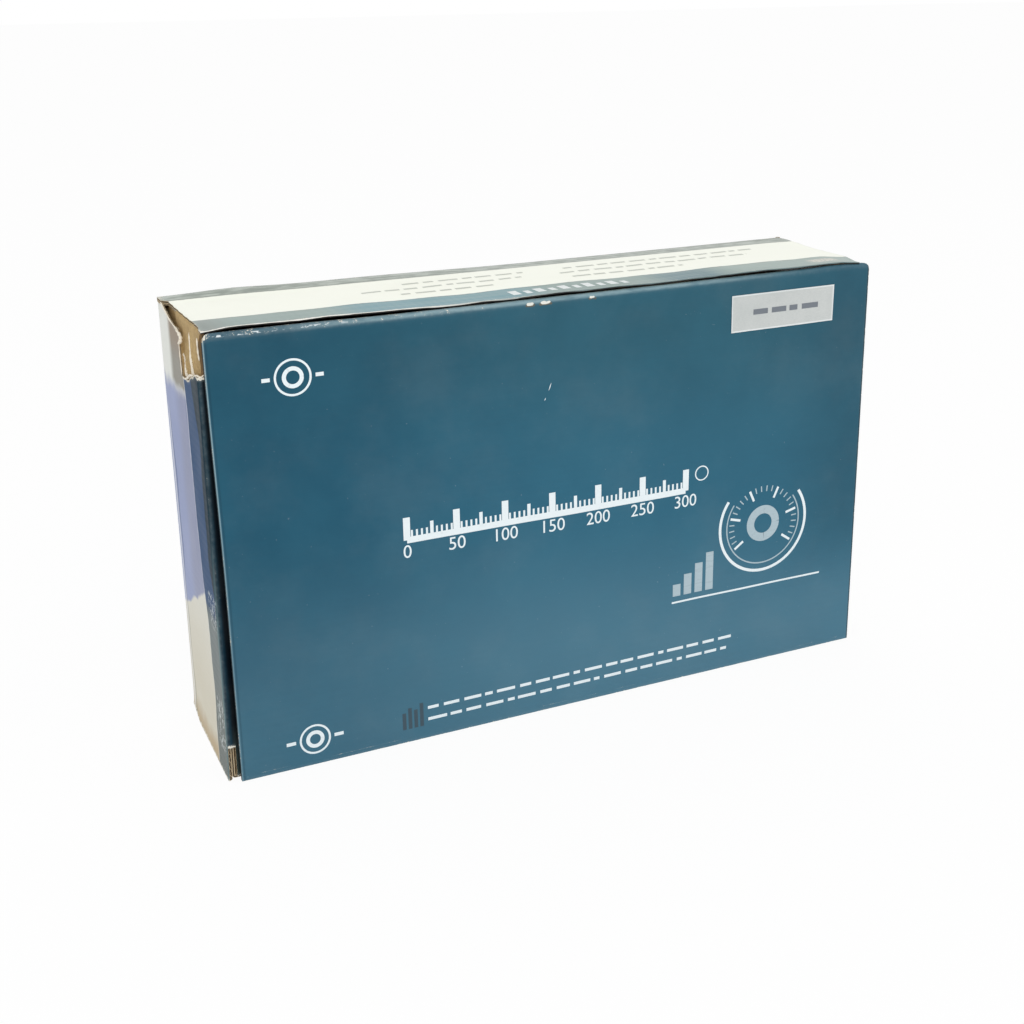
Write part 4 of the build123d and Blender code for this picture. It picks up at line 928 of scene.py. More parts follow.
@look("Left side print", **PRINTED_BOARD, Specular_IOR_Level=0.01)
def left_print(g):
    """The left side's print: a pale part behind a slanting line, with a painted lavender reflection above and beige at
    the foot, and before the line a strip with a painted violet reflection above, dark teal darkened as painted shade
    towards the corner, grey below and a painted shadow, near black, beside the lid's edge."""
    settings = carton_settings()
    vector = g.place()
    x, y, z = g.parts(vector)
    cloud = g.noise(vector, 0.12, 4.0)
    streaks = g.noise(g.stretched(vector, (1.0, 1.0, 0.12)), 0.9, 4.0, 0.6)
    line = g.times_plus(g.math("MAXIMUM", g.minus(z, 30.0), 0.0), 0.084, -12.7)
    behind = g.minus(g.times_plus(g.noise(vector, 0.4, 3.0), 0.8, y), line)
    low_wave = g.times_plus(cloud, 4.0, g.times_plus(y, 0.45, z))
    high_wave = g.times_plus(cloud, 9.0, z)

    pale = g.mix(g.fade(z, 70, 12), "dddcd2", "d6d1c0")
    pale = g.mix(g.times(g.fade(high_wave, 15, 6), 0.9), pale, "bda885")
    pale = g.mix(g.fade(high_wave, 126, 132), pale, "e3e5df")
    brown = g.mix(g.fade(z, 143, 133), "978979", "959289")
    # Greyish brown on the pale part near the head, towards the front.
    grey_brown_patch = g.times(g.fade(y, 15.5, 9.5), g.fade(high_wave, 129, 133))
    pale = g.mix(grey_brown_patch, pale, brown)
    # Painted reflection: lavender over the pale part above a wavy line, greyer towards the front.
    stain_and_reflection = g.mix(g.fade(y, 14, 2), settings.stain_colour[:], "949ab4")
    reflection_share = g.times(g.fade(low_wave, 56.2, 57.8), g.fade(high_wave, 133, 127))
    pale = g.mix(reflection_share, pale, stain_and_reflection)
    dark_line = g.times(g.band(y, 22.1, 23.0, 0.3), g.fade(z, 118, 108))
    pale = g.mix(g.times(dark_line, 0.75), pale, g.mix(g.fade(z, 35, 60), "8f9284", "4c5c7c"))
    # Painted highlight: a pale line along the back strip, between two dark lines.
    back_highlight_line = g.times(g.band(y, 24.2, 25.6, 0.4), g.fade(z, 118, 108))
    pale = g.mix(g.times(back_highlight_line, 0.7), pale, "e6e8ea")
    pale = g.mix(g.fade(y, 27.0, 27.9, 0.0, 0.7), pale, g.mix(g.fade(z, 35, 60), "7c8078", "40506c"))

    # The roll's print, darkened as painted shade.
    teal = g.mix(g.fade(streaks, 0.35, 0.65), settings.roll_colour[:], "0b2432")
    # Painted reflection: violet over the strip's upper part, behind a wavy front line.
    violet_front = g.times_plus(g.fade(z, 112, 134), 7.0, g.times_plus(cloud, 3.0, -22.5))
    violet_front = g.times_plus(g.fade(z, 74, 62), -4.0, violet_front)
    violet = g.fade(g.minus(y, violet_front), -0.9, 0.9)
    dark = g.mix(g.times(violet, g.fade(z, 50, 60)), teal, settings.violet_colour[:])
    grey = g.times(g.fade(g.times_plus(streaks, 16.0, z), 68, 60), g.fade(y, -26.3, -25.7))
    dark = g.mix(grey, dark, g.mix(g.fade(z, 10, 45), "6d7471", "737c7c"))
    scratched = g.plus(g.band(z, 52, 64, 1.5), g.band(z, 9, 27, 1.5))
    scratched = g.times(scratched, g.band(y, -25.5, -15.5, 1.0))
    flecks = g.noise(g.stretched(vector, (1.0, 1.0, 0.35)), 1.3, 3.0, 0.6)
    dark = g.mix(g.times(scratched, g.fade(flecks, 0.55, 0.6)), dark, "d5dcdc")
    glint = g.times(g.band(y, -26.4, -25.4, 0.2), g.fade(z, 95, 55, 0.0, 0.2))
    dark = g.mix(glint, dark, "9dbfc4")
    # Painted shadow: near black in the gap between the rolled edge and the lid's left edge.
    inner = g.times(g.fade(x, -121.6, -120.2), g.fade(y, -25.4, -26.2))
    dark = g.mix(inner, dark, g.mix(g.fade(z, 5, 22), "34413f", "0a1117"))
    colour = g.mix(g.fade(behind, -0.1, 0.5), dark, pale)
    edge = g.times(g.band(behind, 0.4, 1.0, 0.25), g.fade(streaks, 0.4, 0.6, 0.1, 0.6))
    colour = g.mix(edge, colour, "e2e5ea")
    return board_finish(g, vector, colour, z)


@look("Right side print", **PRINTED_BOARD, Specular_IOR_Level=0.03)
def right_print(g):
    """The right side's print, in bands from front to back: the rolled edge in dark teal, a greyed strip, the pale
    band and another strip, with a brownish line at each change."""
    settings = carton_settings()
    vector = g.place()
    _, y, z = g.parts(vector)
    y = g.times_plus(g.noise(vector, 0.6, 3.0), 0.25, y)
    changes = ((-25.6, settings.strip_colour[:]), (-10.5, settings.band_colour[:]), (22.0, "9ba39a"))
    colour = settings.roll_colour[:]
    for line, following in changes:
        colour = g.mix(g.fade(y, line - 0.12, line + 0.12), colour, following)
    for line, _ in changes:
        colour = g.mix(g.times(g.band(y, line - 0.25, line + 0.25, 0.15), 0.6), colour, "8a7a66")
    return board_finish(g, vector, colour, z)


@look("Back print", **PRINTED_BOARD, Coat_Weight=0.02, Coat_Roughness=0.25, Specular_IOR_Level=0.12)
def back_print(g):
    """The back's print: the lid's ink, plain, with a paler worn patch."""
    settings = carton_settings()
    vector = g.place()
    _, _, z = g.parts(vector)
    patch = g.fade(g.noise(vector, 0.012, 4.0, 0.55), 0.45, 0.7, 0.0, 0.5)
    base = g.mix(patch, settings.lid_colour[:], settings.lid_foot_colour[:])
    return board_finish(g, vector, base, z)


def edge_wear(u, v, u_span, v_span, reach=3.0):
    """Worn value that grows towards the four edges of a panel."""
    near = np.minimum(np.minimum(u - u_span[0], u_span[1] - u), np.minimum(v - v_span[0], v_span[1] - v))
    return 1 - smooth(near, 0.3, reach)


def make_back():
    """The back panel, whose foot and head turn forwards in arcs as thick as the board."""
    path = round_path(
        [(back_low[1], 0), (CARTON_BACK, 0), (CARTON_BACK, CARTON_TOP), (back_low[1], CARTON_TOP)], [BOARD, BOARD]
    )

    def place(u, v, w):
        y, z = along(path, v, w)
        calm = smooth(z, 0, 15) * smooth(-z, -CARTON_TOP, -CARTON_TOP + 15) * smooth(-np.abs(u), -121, -100)
        return slumped(u, y + 0.2 * wave(u, z, 110.0, 2.1) * calm, z + back_bow(u) * smooth(z, 125, CARTON_TOP))

    rows = even(back_low[0], back_high[0], 5.0, edge=(0.5, 1.5, 3.0))
    runs = fine_runs(path, 4.0)
    board_piece("carton_back", ("carton", "back_panel"), board_materials(back_print(), wavy=True), place, rows, 0.0,
                runs[-1], runs / runs[-1],
                worn=lambda u, v: 0.55 * edge_wear(u, v, (rows[0], rows[-1]), (0, runs[-1])))


def make_bottom():
    """The hinge side that the carton stands on."""

    def place(u, v, w):
        return stacked(u, v, w)

    across, deep = (bottom_low[0], bottom_high[0]), (bottom_low[1], bottom_high[1])
    board_piece("carton_bottom", ("carton", "bottom_wall"), board_materials(top_print()), place,
                even(*across, 6.0, edge=(1.0, 3.0)), *deep, np.linspace(0, 1, 14),
                worn=lambda u, v: 0.6 * edge_wear(u, v, across, deep, 5.0))


def back_bow(x):
    """How far the carton's back edge bows up at its head: a low step over the left half and a bell near its end."""
    return 0.75 * (1 - smooth(x, -60, 15)) + 0.65 * np.exp(-(((x + 97) / 14) ** 2))


def top_height(x, y):
    """Height of the top's face: its front left corner curls down, its right end sinks, its front waves a little and
    its back edge bows up."""
    droop = 0.75 * smooth(-x, 111.0, 119.5) * smooth(-y, 14.0, 28.0) - 0.62 * smooth(-x, 45, 100) * smooth(-y, 2, 28)
    lift = 0.25 * wave(x, y, 70.0, 1.3) * smooth(-y, -20, 0) * smooth(-np.abs(x), -112, -90)
    sag = 1.1 * smooth(x, 108, 121.6) * smooth(-y, -25, 0)
    return CARTON_TOP - droop - sag + lift + back_bow(x) * smooth(y, 17, 27)


def make_top():
    """The top wall: its left end is cut ragged, its front edge steps forward a little to the right and its right end
    is rounded."""
    left_end, right_end = -119.5, 121.6

    def turned(u, v, w):
        u, v, w = np.broadcast_arrays(u, v, w)
        front = (1 - smooth(u, top_low[1], top_low[1] + 6)) * (0.9 - 0.9 * smooth(v, -112, 60))
        thin = 0.44 + 0.56 * smooth(u, top_low[1] + 1.6, top_low[1] + 4.2)
        return stacked(v, u + front, top_height(v, u) - w * thin)

    shares = together(np.linspace(0, 1, 64), [0.002, 0.006, 0.012, 0.99, 0.996])
    rows = together(even(top_low[1], top_high[1], 1.6), TOP_LINES)
    lows = left_end + ragged(rows, 0.22, 1.0) + 0.5 * smooth(-rows, 20, 28) - 2.4 * smooth(rows, 20.6, 22.6)
    lows = lows - 1.3 * smooth(-rows, 20, 28)
    highs = right_end - 3.6 * smooth(-rows, 14, 28) - 0.6 * smooth(rows, 24, 28) + ragged(rows, 0.12, 2.0)
    highs = highs + 0.35 * np.exp(-(((rows + 2) / 13) ** 2))

    def wear(u, v):
        front = (1 - smooth(u - top_low[1], 0.2, 1.4)) * (1 - 0.7 * smooth(v, -80, 20))
        ends = 1 - smooth(np.minimum(v - left_end, right_end - v), 0.0, 0.8)
        return 0.6 * front + 0.45 * ends

    board_piece("carton_top", ("carton", "top_wall"), board_materials(top_print(), front_rim()), turned, rows, lows,
                highs, shares, worn=wear, slots=(0, 1, 3, 2, 2, 2))


# The left side's torn head: places from back to front, as minus y, and heights
TORN_LINE = ((-30.0, -21.8, -18.1, -15.4, -11.1, -7.1, 3.0, 3.3, 9.2, 12.5, 17.2, 22.0, 30.0),
             (150.0, 150.0, 149.5, 148.3, 147.5, 146.4, 145.6, 131.4, 131.2, 132.2, 134.1, 135.8, 136.2))


def make_side(name, side, print_material):
    """A side wall: the printed outer board, which rolls round the front edge into the inner board with its two tabs.
    Each column of the outer board runs from a low line to a high one: the roll's foot is notched, and the left
    side's high line is torn, as places before the back and heights."""
    outer, inner = abs(left_low[0]), abs(left_high[0])
    front = float(left_low[1])
    turn_in = 4.0
    outline = [(side * (outer - BOARD), CARTON_BACK), (side * outer, CARTON_BACK), (side * outer, front),
               (side * inner, front), (side * inner, front + turn_in)]
    path = round_path(outline, [BOARD, BOARD, BOARD])
    sign = -side
    corner = int(np.flatnonzero(path[1][:, 1] <= front + 1e-6)[0])
    corner_run = path[0][corner]
    inner_run = corner_run + BOARD

    def run_at(y):
        """Run along the outer face at a depth."""
        return np.interp(-np.asarray(y), -path[1][: corner + 1, 1], path[0][: corner + 1])

    def place(u, v, w):
        thin = 1 - 0.75 * (side < 0) * (1 - smooth(np.interp(u, rows, highs) - v, 0, 3.0)) * (u < corner_run)
        x, y = along(path, u, w * sign * thin)
        calm = smooth(v, 2, 20) * smooth(-v, -148, -130)
        bulge = 0.3 * wave(y, v, 64.0, 0.4 + side) * calm * smooth(np.abs(x), 120, 122)
        return slumped(x + side * bulge * smooth(-np.abs(y), -26, -20), y, v)

    surface = Surface()
    rows = fine_runs(path, 1.2)
    jumps = np.concatenate([run_at([-3.0, -3.3, front + 0.5, front + 0.48]), [inner_run, inner_run + 0.02]])
    rows = together(rows, jumps, run_at([21.8, 18.1, 15.4, 11.1, 7.1, -9.2, -17.2, -22.0]))
    depth = np.interp(rows, *(path[0], path[1][:, 1]))
    lows, highs = np.zeros_like(rows), np.full_like(rows, CARTON_TOP)
    highs[rows > 2.0] -= RIGHT_DROP * (side > 0)
    if side < 0:
        torn = (depth < 20.0) & (rows > 5)
        highs = np.interp(-depth, *TORN_LINE) + ragged(rows, 0.45, 1.0) * torn
    lows = np.where(rows > run_at(front + 0.49), 12.0 + ragged(rows, 0.2, 2.0), lows)
    lows = np.where(rows > inner_run + 0.01, BOARD, lows)
    highs = np.where(rows > inner_run + 0.01, CARTON_TOP - (BOARD if side < 0 else RIGHT_DROP), highs)

    def wear(u, v):
        top = 1 - smooth(np.interp(u, rows, highs) - v, 0.1, 1.3)
        foot = 1 - smooth(v - np.interp(u, rows, lows), 0.2, 1.6)
        back = 0.3 * (1 - smooth(u, 1.5, 3.5))
        fold = 0.25 * np.exp(-(((u - corner_run + 1.0) / 0.7) ** 2))
        return np.clip(0.9 * top + 0.6 * foot + back + fold, 0, 1.2)

    board(surface, place, rows, lows, highs, even(0, 1, 0.02, edge=(0.002, 0.006, 0.012)), worn=wear)

    inner_path = round_path([(side * inner, front + turn_in), (side * inner, CARTON_BACK)], [])

    def place_inner(u, v, w):
        x, y = along(inner_path, v, w * sign)
        depth_share = np.clip((y - front) / (CARTON_BACK - front), 0, 1)
        return slumped(x, y, u, depth_share)

    tabs = (37.0, 113.0)
    inner_rows = [BOARD, *np.linspace(4, CARTON_TOP - 4, 40), CARTON_TOP - (BOARD if side < 0 else RIGHT_DROP)]
    inner_rows = together(inner_rows, *[[t - 12.05, t - 12, t + 12, t + 12.05] for t in tabs])
    in_tab = np.any([np.abs(inner_rows - t) <= 12.01 for t in tabs], axis=0)
    inner_highs = np.where(in_tab, inner_path[0][-1], inner_path[0][-1] - BOARD)
    board(surface, place_inner, inner_rows, 0.0, inner_highs, np.linspace(0, 1, 16), slots=(3, 1, 2))
    materials = board_materials(print_material, plain_paper("White liner", "d9d7cc", 0.7, "a9a794"), wavy=True)
    put(surface.build(f"carton_{name}", materials), "carton", f"{name}_wall", slot="printed_board")


def make_corner_flap(name, side, up):
    """A corner flap: an upright board behind the side wall, folded over at the top or foot into a short lip.
    At the torn corner it is creased into upright ribs whose crests are bare, and it stands off the side's back half."""
    low, high = span(f"{name}_corner_flap")
    edge, far = (high[2], low[2]) if up < 0 else (low[2], high[2])
    outer, inner = max(abs(low[0]), abs(high[0])), min(abs(low[0]), abs(high[0]))
    torn = name == "top_left"
    lip, bend = (119.5, 1.55) if torn else (inner, 1.0)
    edge -= 2.8 * (name == "top_right")
    path = round_path([(side * lip, edge), (side * outer, edge), (side * outer, far)], [bend], arc_steps=8)
    sign = side * up

    def crests(y, z):
        """The ribs' height from 0 to 1: a bell curve across each of three lines that lean down the flap."""
        lines = (np.interp(z, (131, 135, 140.4, 145), (-5.8, -5.2, -0.8, 1.5)),
                 np.interp(z, (133, 144), (-15.4, -13.8)), np.interp(z, (136, 147), (-25.4, -26.2)))
        high_end, low_end = (146.0, 147.5, 147.5), (130.0, 131.5, 140.0)
        return sum(np.exp(-(((y - line) / 0.6) ** 2)) * smooth(z, foot, foot + 1.5)
                   * (1 - smooth(z, head - 2, head + 1))
                   for line, head, foot in zip(lines, high_end, low_end))

    def place(u, v, w):
        x, z = along(path, v, w * sign)
        if torn:
            fine = 0.22 * np.sin(u * 2.1 + 0.12 * z) * smooth(-z, -147, -143)
            hollow = 1.1 * smooth(u, 4, 15) * smooth(z, 130, 147)
            x = x - 0.75 * crests(u, z) + fine + hollow
        return slumped(x, u, z)

    def wear(u, v):
        return 1.4 * crests(u, along(path, v, 0.0)[1]) if torn else 0 * u

    rows = even(low[1] - 1.1, 26.0, 0.5) if torn else even(low[1], high[1], 4.0)
    shares = together(np.linspace(0, 1, 40 if torn else 16), path[0] / path[0][-1])
    # The torn flap's cut edges are painted dark brown as shade.
    materials = [torn_liner(), kraft(), kraft("Painted shade kraft", "7d6443")] if torn else board_materials(kraft())
    board_piece(f"carton_{name}_flap", ("carton", f"{name}_corner_flap"), materials, place, rows, 0.0, path[0][-1],
                shares, thick=1.0, worn=wear, slot="kraft_board")


def make_torn_paper():
    """White shreds of the torn liner: thin rolls of paper along smooth lines, whose radius swells and thins."""
    lines = [
        (((-122.0, 21.5, 150.1), (-122.1, 15.4, 148.6), (-122.1, 7.1, 146.7), (-122.1, -2.8, 145.7)), 0.24),
        (((-121.7, 1.5, 145.3), (-121.9, -3.7, 144.9), (-122.2, -7.6, 144.3), (-122.3, -7.8, 143.3),
          (-122.1, -4.6, 142.1), (-121.8, -1.6, 141.2)), 0.62),
        (((-122.0, -3.2, 143.0), (-122.2, -4.2, 138.0), (-122.3, -5.2, 132.0)), 0.2),
        (((-122.1, -9.0, 131.6), (-122.3, -13.5, 132.9), (-122.3, -17.2, 134.6), (-122.2, -21.0, 135.4)), 0.42),
        (((-122.0, -22.5, 135.6), (-121.9, -25.6, 136.4), (-121.0, -26.6, 136.0), (-120.0, -26.7, 136.7)), 0.3),
        (((-121.2, -26.5, 148.0), (-121.2, -26.6, 144.0), (-121.0, -26.6, 141.0)), 0.3),
        (((-119.8, -26.75, 146.9), (-118.6, -26.85, 147.1)), 0.3),
    ]
    surface = Surface()
    for points, thick in lines:
        points = np.array(points)
        share, fine = np.linspace(0, 1, len(points)), np.linspace(0, 1, 12 * len(points))
        line = np.stack([catmull(share, points[:, k], fine) for k in range(3)], 1)
        radius = thick * (0.55 + 0.45 * np.abs(np.sin(fine * 3.1 * len(points)))) * (
            0.3 + 0.7 * np.sin(np.pi * fine) ** 0.4)
        tube(surface, line, radius, 8)
    paper = plain_paper("Torn fibre", "f1ebdd", 0.85, "c9b48c")
    put(surface.build("carton_torn_paper", [paper]), "carton", slot="kraft_board")


@look("Torn liner", depth=0.25)
def torn_liner(g):
    """Kraft liner whose crests are torn to white fibre."""
    vector = g.place()
    fibre = g.use(fibre_group(), Vector=g.stretched(vector, (1.0, 1.6, 0.3)))
    worn = g.attribute("worn")
    brown = g.mix(fibre["Shade"], "8f7449", "cfb481")
    bare = g.fade(g.times(worn, g.fade(fibre["Shade"], 0.1, 0.8, 0.6, 1.2)), 0.45, 0.75)
    return {"Base Color": g.mix(bare, brown, "f0e8d6"), "Roughness": 0.9, "Height": fibre["Height"]}


def rounded_rows(length, corner, start):
    """A flap's rows from its fold to its free edge, their share of its length, and how far its rounded corners cut in
    at each row: radius minus the height of a circle."""
    rows = together(np.linspace(start, length, 22), length - np.array([0.2, 0.6, 1.2]))
    bite = corner - np.sqrt(np.maximum(0, corner**2 - np.maximum(0, corner - (length - rows)) ** 2))
    return rows, rows / length, bite


def flap_wear(u, v):
    """Worn value of a flap, which is rubbed along its fold."""
    return 0.5 * (1 - smooth(u, 0.2, 2.5))


def make_tuck_flap():
    """The tuck flap: a board with rounded far corners, sloping down behind the top wall."""
    low, high = span("tuck_flap")
    slope = math.radians(9.0)
    length, taper, corner = 24.0, 7.0, 7.0

    def place(u, v, w):
        """u is the run from the fold, v the place across the carton and w the depth."""
        down = u * math.sin(slope) - (LID_RISE - head_sag(v)) * (1 - smooth(u, 0, 3.6))
        y = LID_FACE + BOARD + u * math.cos(slope) - w * math.sin(slope)
        return stacked(v, y, lid_high[2] - down - w * math.cos(slope))

    rows, share, bite = rounded_rows(length, corner, 0.15)
    lows, highs = low[0] + taper * share + bite * 0.6, high[0] - taper * share - bite * 0.6
    board_piece("carton_tuck_flap", ("tuck_flap", "tuck_flap"), board_materials(lid_print()), place, rows, lows, highs,
                np.linspace(0, 1, 60), worn=flap_wear)


def make_ear(name, side):
    """An ear of the lid, with rounded free corners, leaning in a little."""
    low, high = span(f"{name}_ear")
    slope = math.radians(5.0)
    length, taper, corner = 26.0, 6.0, 9.0
    face = low[0] if side < 0 else high[0]

    def place(u, v, w):
        """u is the run from the fold, v the height and w the depth."""
        x = face - side * (u * math.sin(slope) + w * math.cos(slope))
        y = LID_FACE + BOARD + u * math.cos(slope) - w * math.sin(slope)
        return stacked(x, y, v)

    rows, share, bite = rounded_rows(length, corner, 0.25)
    lows, highs = low[2] + taper * share + 0.7 * bite, high[2] - taper * share - 0.7 * bite
    board_piece(f"carton_{name}_ear", (f"{name}_ear",) * 2, board_materials(lid_print(), wavy=True), place, rows, lows,
                highs, np.linspace(0, 1, 40), worn=flap_wear)


def make_label():
    """The paper label: a thin sheet that lifts a little at its edges."""
    low, high = span("front_label")

    def place(u, v, w):
        near = np.minimum(np.minimum(u - low[0], high[0] - u), np.minimum(v - low[2], high[2] - v))
        lift = 0.10 * (1 - smooth(near, 0.0, 1.2))
        return stacked(u, LID_FACE + lid_warp(u, v) - 0.11 - lift + w, v)

    rows = even(low[0], high[0], 1.5, edge=(0.2, 0.5, 1.0))
    shares = together(np.linspace(0, 1, 16), [0.02, 0.05, 0.95, 0.98])
    paper = plain_paper("Label paper", carton_settings().label_colour[:])
    board_piece("carton_label", ("lid", "front_label"), [paper] * 3, place, rows, low[2], high[2], shares, thick=0.09,
                worn=lambda u, v: edge_wear(u, v, (low[0], high[0]), (low[2], high[2]), 0.55), slot="label_paper")


# Print on the lid


# How far ink stands off the board, and how thick it is
INK_LIFT, INK_THICK = 0.035, 0.03


def ribbon(surface, line, width, place, slot=0):
    """A flat strip of ink carried along a line of (a, b) points, closed by its sides and ends."""
    line = np.asarray(line, float)
    width = np.broadcast_to(np.asarray(width, float), len(line))
    run = run_lengths(line)
    fine = together(run, np.linspace(0, run[-1], int(run[-1] / 2.0) + 2))
    line = stacked(np.interp(fine, run, line[:, 0]), np.interp(fine, run, line[:, 1]))
    heading = np.gradient(line, axis=0)
    heading /= np.linalg.norm(heading, axis=1)[:, None]
    side = stacked(-heading[:, 1], heading[:, 0])
    offset = np.interp(fine, run, width)[:, None] / 2
    left, right = line + side * offset, line - side * offset
    ring = [(left, 0.0), (right, 0.0), (right, INK_THICK), (left, INK_THICK), (left, 0.0)]
    points = np.stack([place(edge[:, 0], edge[:, 1], depth) for edge, depth in ring], 1)
    surface.add(points, None, 0.0, slot)
    for end in (0, -1):
        corners = points[end][:4]
        surface.add(np.stack([corners[[0, 1]], corners[[3, 2]]]), None, 0.0, slot)


def on_lid(a, b, w):
    """A place on the lid's face at (x, z), w above the ink's base."""
    return stacked(a, LID_FACE + lid_warp(a, b) - INK_LIFT - w + INK_THICK, b)


def arc(centre, radius, start, end, steps=48):
    """Points on a circle from one angle to another, in degrees."""
    angle = np.radians(np.linspace(start, end, steps))
    return stacked(centre[0] + radius * np.cos(angle), centre[1] + radius * np.sin(angle))


def text_mesh(words, height, right, up, name, ink_material, below=None):
    """Numbers as flat type: each is (text, point); right and up are the type's directions in the frame. They follow
    a surface below them that stands off its plane by below(x, z)."""
    turn = Matrix((right, up, Vector(right).cross(Vector(up)))).transposed().to_4x4()
    work = bmesh.new()
    for text, point in words:
        curve = bpy.data.curves.new(name, "FONT")
        curve.body = text
        curve.align_x, curve.align_y = "CENTER", "CENTER"
        curve.size = height * MM / 0.72
        curve.extrude = INK_THICK * MM / 2
        made = bpy.data.objects.new(name, curve)
        mesh = bpy.data.meshes.new_from_object(made)
        mesh.transform(Matrix.Translation(Vector(point) * MM) @ turn)
        work.from_mesh(mesh)
        bpy.data.objects.remove(made)
        bpy.data.curves.remove(curve)
        bpy.data.meshes.remove(mesh)
    joined = bpy.data.meshes.new(name)
    bmesh.ops.remove_doubles(work, verts=work.verts, dist=1e-7)
    work.to_mesh(joined)
    work.free()
    if below:
        points = np.zeros(len(joined.vertices) * 3, np.float32)
        joined.vertices.foreach_get("co", points)
        points = points.reshape(-1, 3)
        points[:, 1] += below(points[:, 0] / MM, points[:, 2] / MM) * MM
        joined.vertices.foreach_set("co", points.ravel())
    joined.materials.clear()
    joined.materials.append(ink_material)
    return linked(name, joined)


def make_lid_scale(white):
    """A bold graduated scale across the middle of the lid, with plain numbers under it."""
    left, right, base, top = -58.9, 46.9, 73.6, 81.5
    surface = Surface()
    ribbon(surface, [(left, base), ((left + right) / 2, base), (right, base)], 2.2, on_lid)
    steps = 60
    for k in range(steps + 1):
        x = left + (right - left) * k / steps
        tall = 1.0 if k % 10 == 0 else 0.68 if k % 5 == 0 else 0.42
        width = 2.4 if k % 10 == 0 else 1.2 if k % 5 == 0 else 0.7
        ribbon(surface, [(x, base), (x, base + (top - base) * tall)], width, on_lid)
    put(surface.build("lid_scale", [white]), "lid", slot="printed_board")
    words = [(str(50 * k), (left + (right - left) * k / 6, LID_FACE - INK_LIFT, base - 4.2)) for k in range(7)]
    numbers = text_mesh(words, 4.6, (1, 0, 0), (0, 0, 1), "lid_numbers", white, below=lid_warp)
    put(numbers, "lid", slot="printed_board")


def make_lid_device(white, silver):
    """A generic printed device at the lower right: a plain dial of rings and ticks beside a row of level bars."""
    surface = Surface()
    centre = (80.5, 55.5)
    ribbon(surface, arc(centre, 18.5, -215, 35, 90), 1.1, on_lid, 0)
    ribbon(surface, arc(centre, 15.6, -215, 35, 80), 0.5, on_lid, 1)
    ribbon(surface, arc(centre, 5.4, 0, 360, 48), 3.2, on_lid, 1)
    for k in range(26):
        angle = math.radians(-35 + 250 * k / 25)
        inner = 10.2 if k % 5 == 0 else 12.4
        width = 0.9 if k % 5 == 0 else 0.45
        spoke = [(centre[0] - r * math.cos(angle), centre[1] + r * math.sin(angle)) for r in (inner, 14.6)]
        spoke = [(2 * centre[0] - x, z) for x, z in spoke]
        ribbon(surface, spoke, width, on_lid, 0 if k % 5 == 0 else 1)
    for k in range(4):
        x = 44.0 + 4.6 * k
        ribbon(surface, [(x, 33.4), (x, 38.0 + 3.4 * k)], 3.2, on_lid, 1)
    ribbon(surface, [(42.0, 31.0), (107.0, 31.0)], 0.7, on_lid, 0)
    put(surface.build("lid_device", [white, silver]), "lid", slot="printed_board")


def dashes(surface, x_span, z, height, seed, place):
    """A row of short dashes of uneven length, as plain filler for a line of small print."""
    x, k = x_span[0], 0
    while x < x_span[1]:
        length = 2.0 + 5.0 * abs(math.sin(seed + 1.9 * k))
        end = min(x + length, x_span[1])
        ribbon(surface, [(x, z), (end, z)], height, place)
        x = end + 1.2 + 0.8 * abs(math.cos(seed + 2.3 * k))
        k += 1


def make_lid_small_print(white):
    """Two rows of dashes along the foot, a block of bars before them, small ring marks and a scratch."""

    def rising(a, b, w):
        return on_lid(a, b + 0.009 * (a + 54.0), w)

    surface = Surface()
    dashes(surface, (-54.0, 68.0), 11.5, 1.1, 0.4, rising)
    dashes(surface, (-54.0, 66.0), 7.2, 1.1, 1.7, rising)
    for k in range(4):
        ribbon(surface, [(-62.6 + 2.1 * k, 5.0), (-62.6 + 2.1 * k, 8.6 + (2.6, 4.2, 3.2, 5.2)[k])], 1.3, on_lid, 1)
    for centre, radius in (((-93.5, 133.0), 5.6), ((-94.0, 9.4), 5.0)):
        ribbon(surface, arc(centre, radius, 0, 360, 60), 0.7, on_lid)
        ribbon(surface, arc(centre, radius * 0.5, 0, 360, 40), 1.3, on_lid)
        for way in (-1, 1):
            tick = [(centre[0] + way * reach, centre[1]) for reach in (radius + 1.6, 9.8)]
            ribbon(surface, tick, 1.2, on_lid)
    ribbon(surface, arc((53.5, 79.2), 2.6, 0, 360, 36), 0.45, on_lid)
    ribbon(surface, [(-6.0, 120.0), (-6.4, 118.9), (-6.9, 117.6)], (0.1, 0.3, 0.1), on_lid)
    ribbon(surface, [(-8.1, 115.1), (-8.3, 114.7), (-8.5, 114.3)], (0.1, 0.25, 0.1), on_lid)
    dark = ink("Dark ink", "2c4552")
    put(surface.build("lid_small_print", [white, dark]), "lid", slot="printed_board")


def make_label_print():
    """A row of dashes on the label."""
    low, high = span("front_label")

    def on_label(a, b, w):
        return stacked(a, LID_FACE + lid_warp(a, b) - 0.13 - w, b)

    surface = Surface()
    dashes(surface, (low[0] + 9, high[0] - 6), (low[2] + high[2]) / 2, 1.9, 2.2, on_label)
    grey = ink("Grey ink", "6d747c")
    put(surface.build("label_print", [grey]), "lid", slot="label_paper")


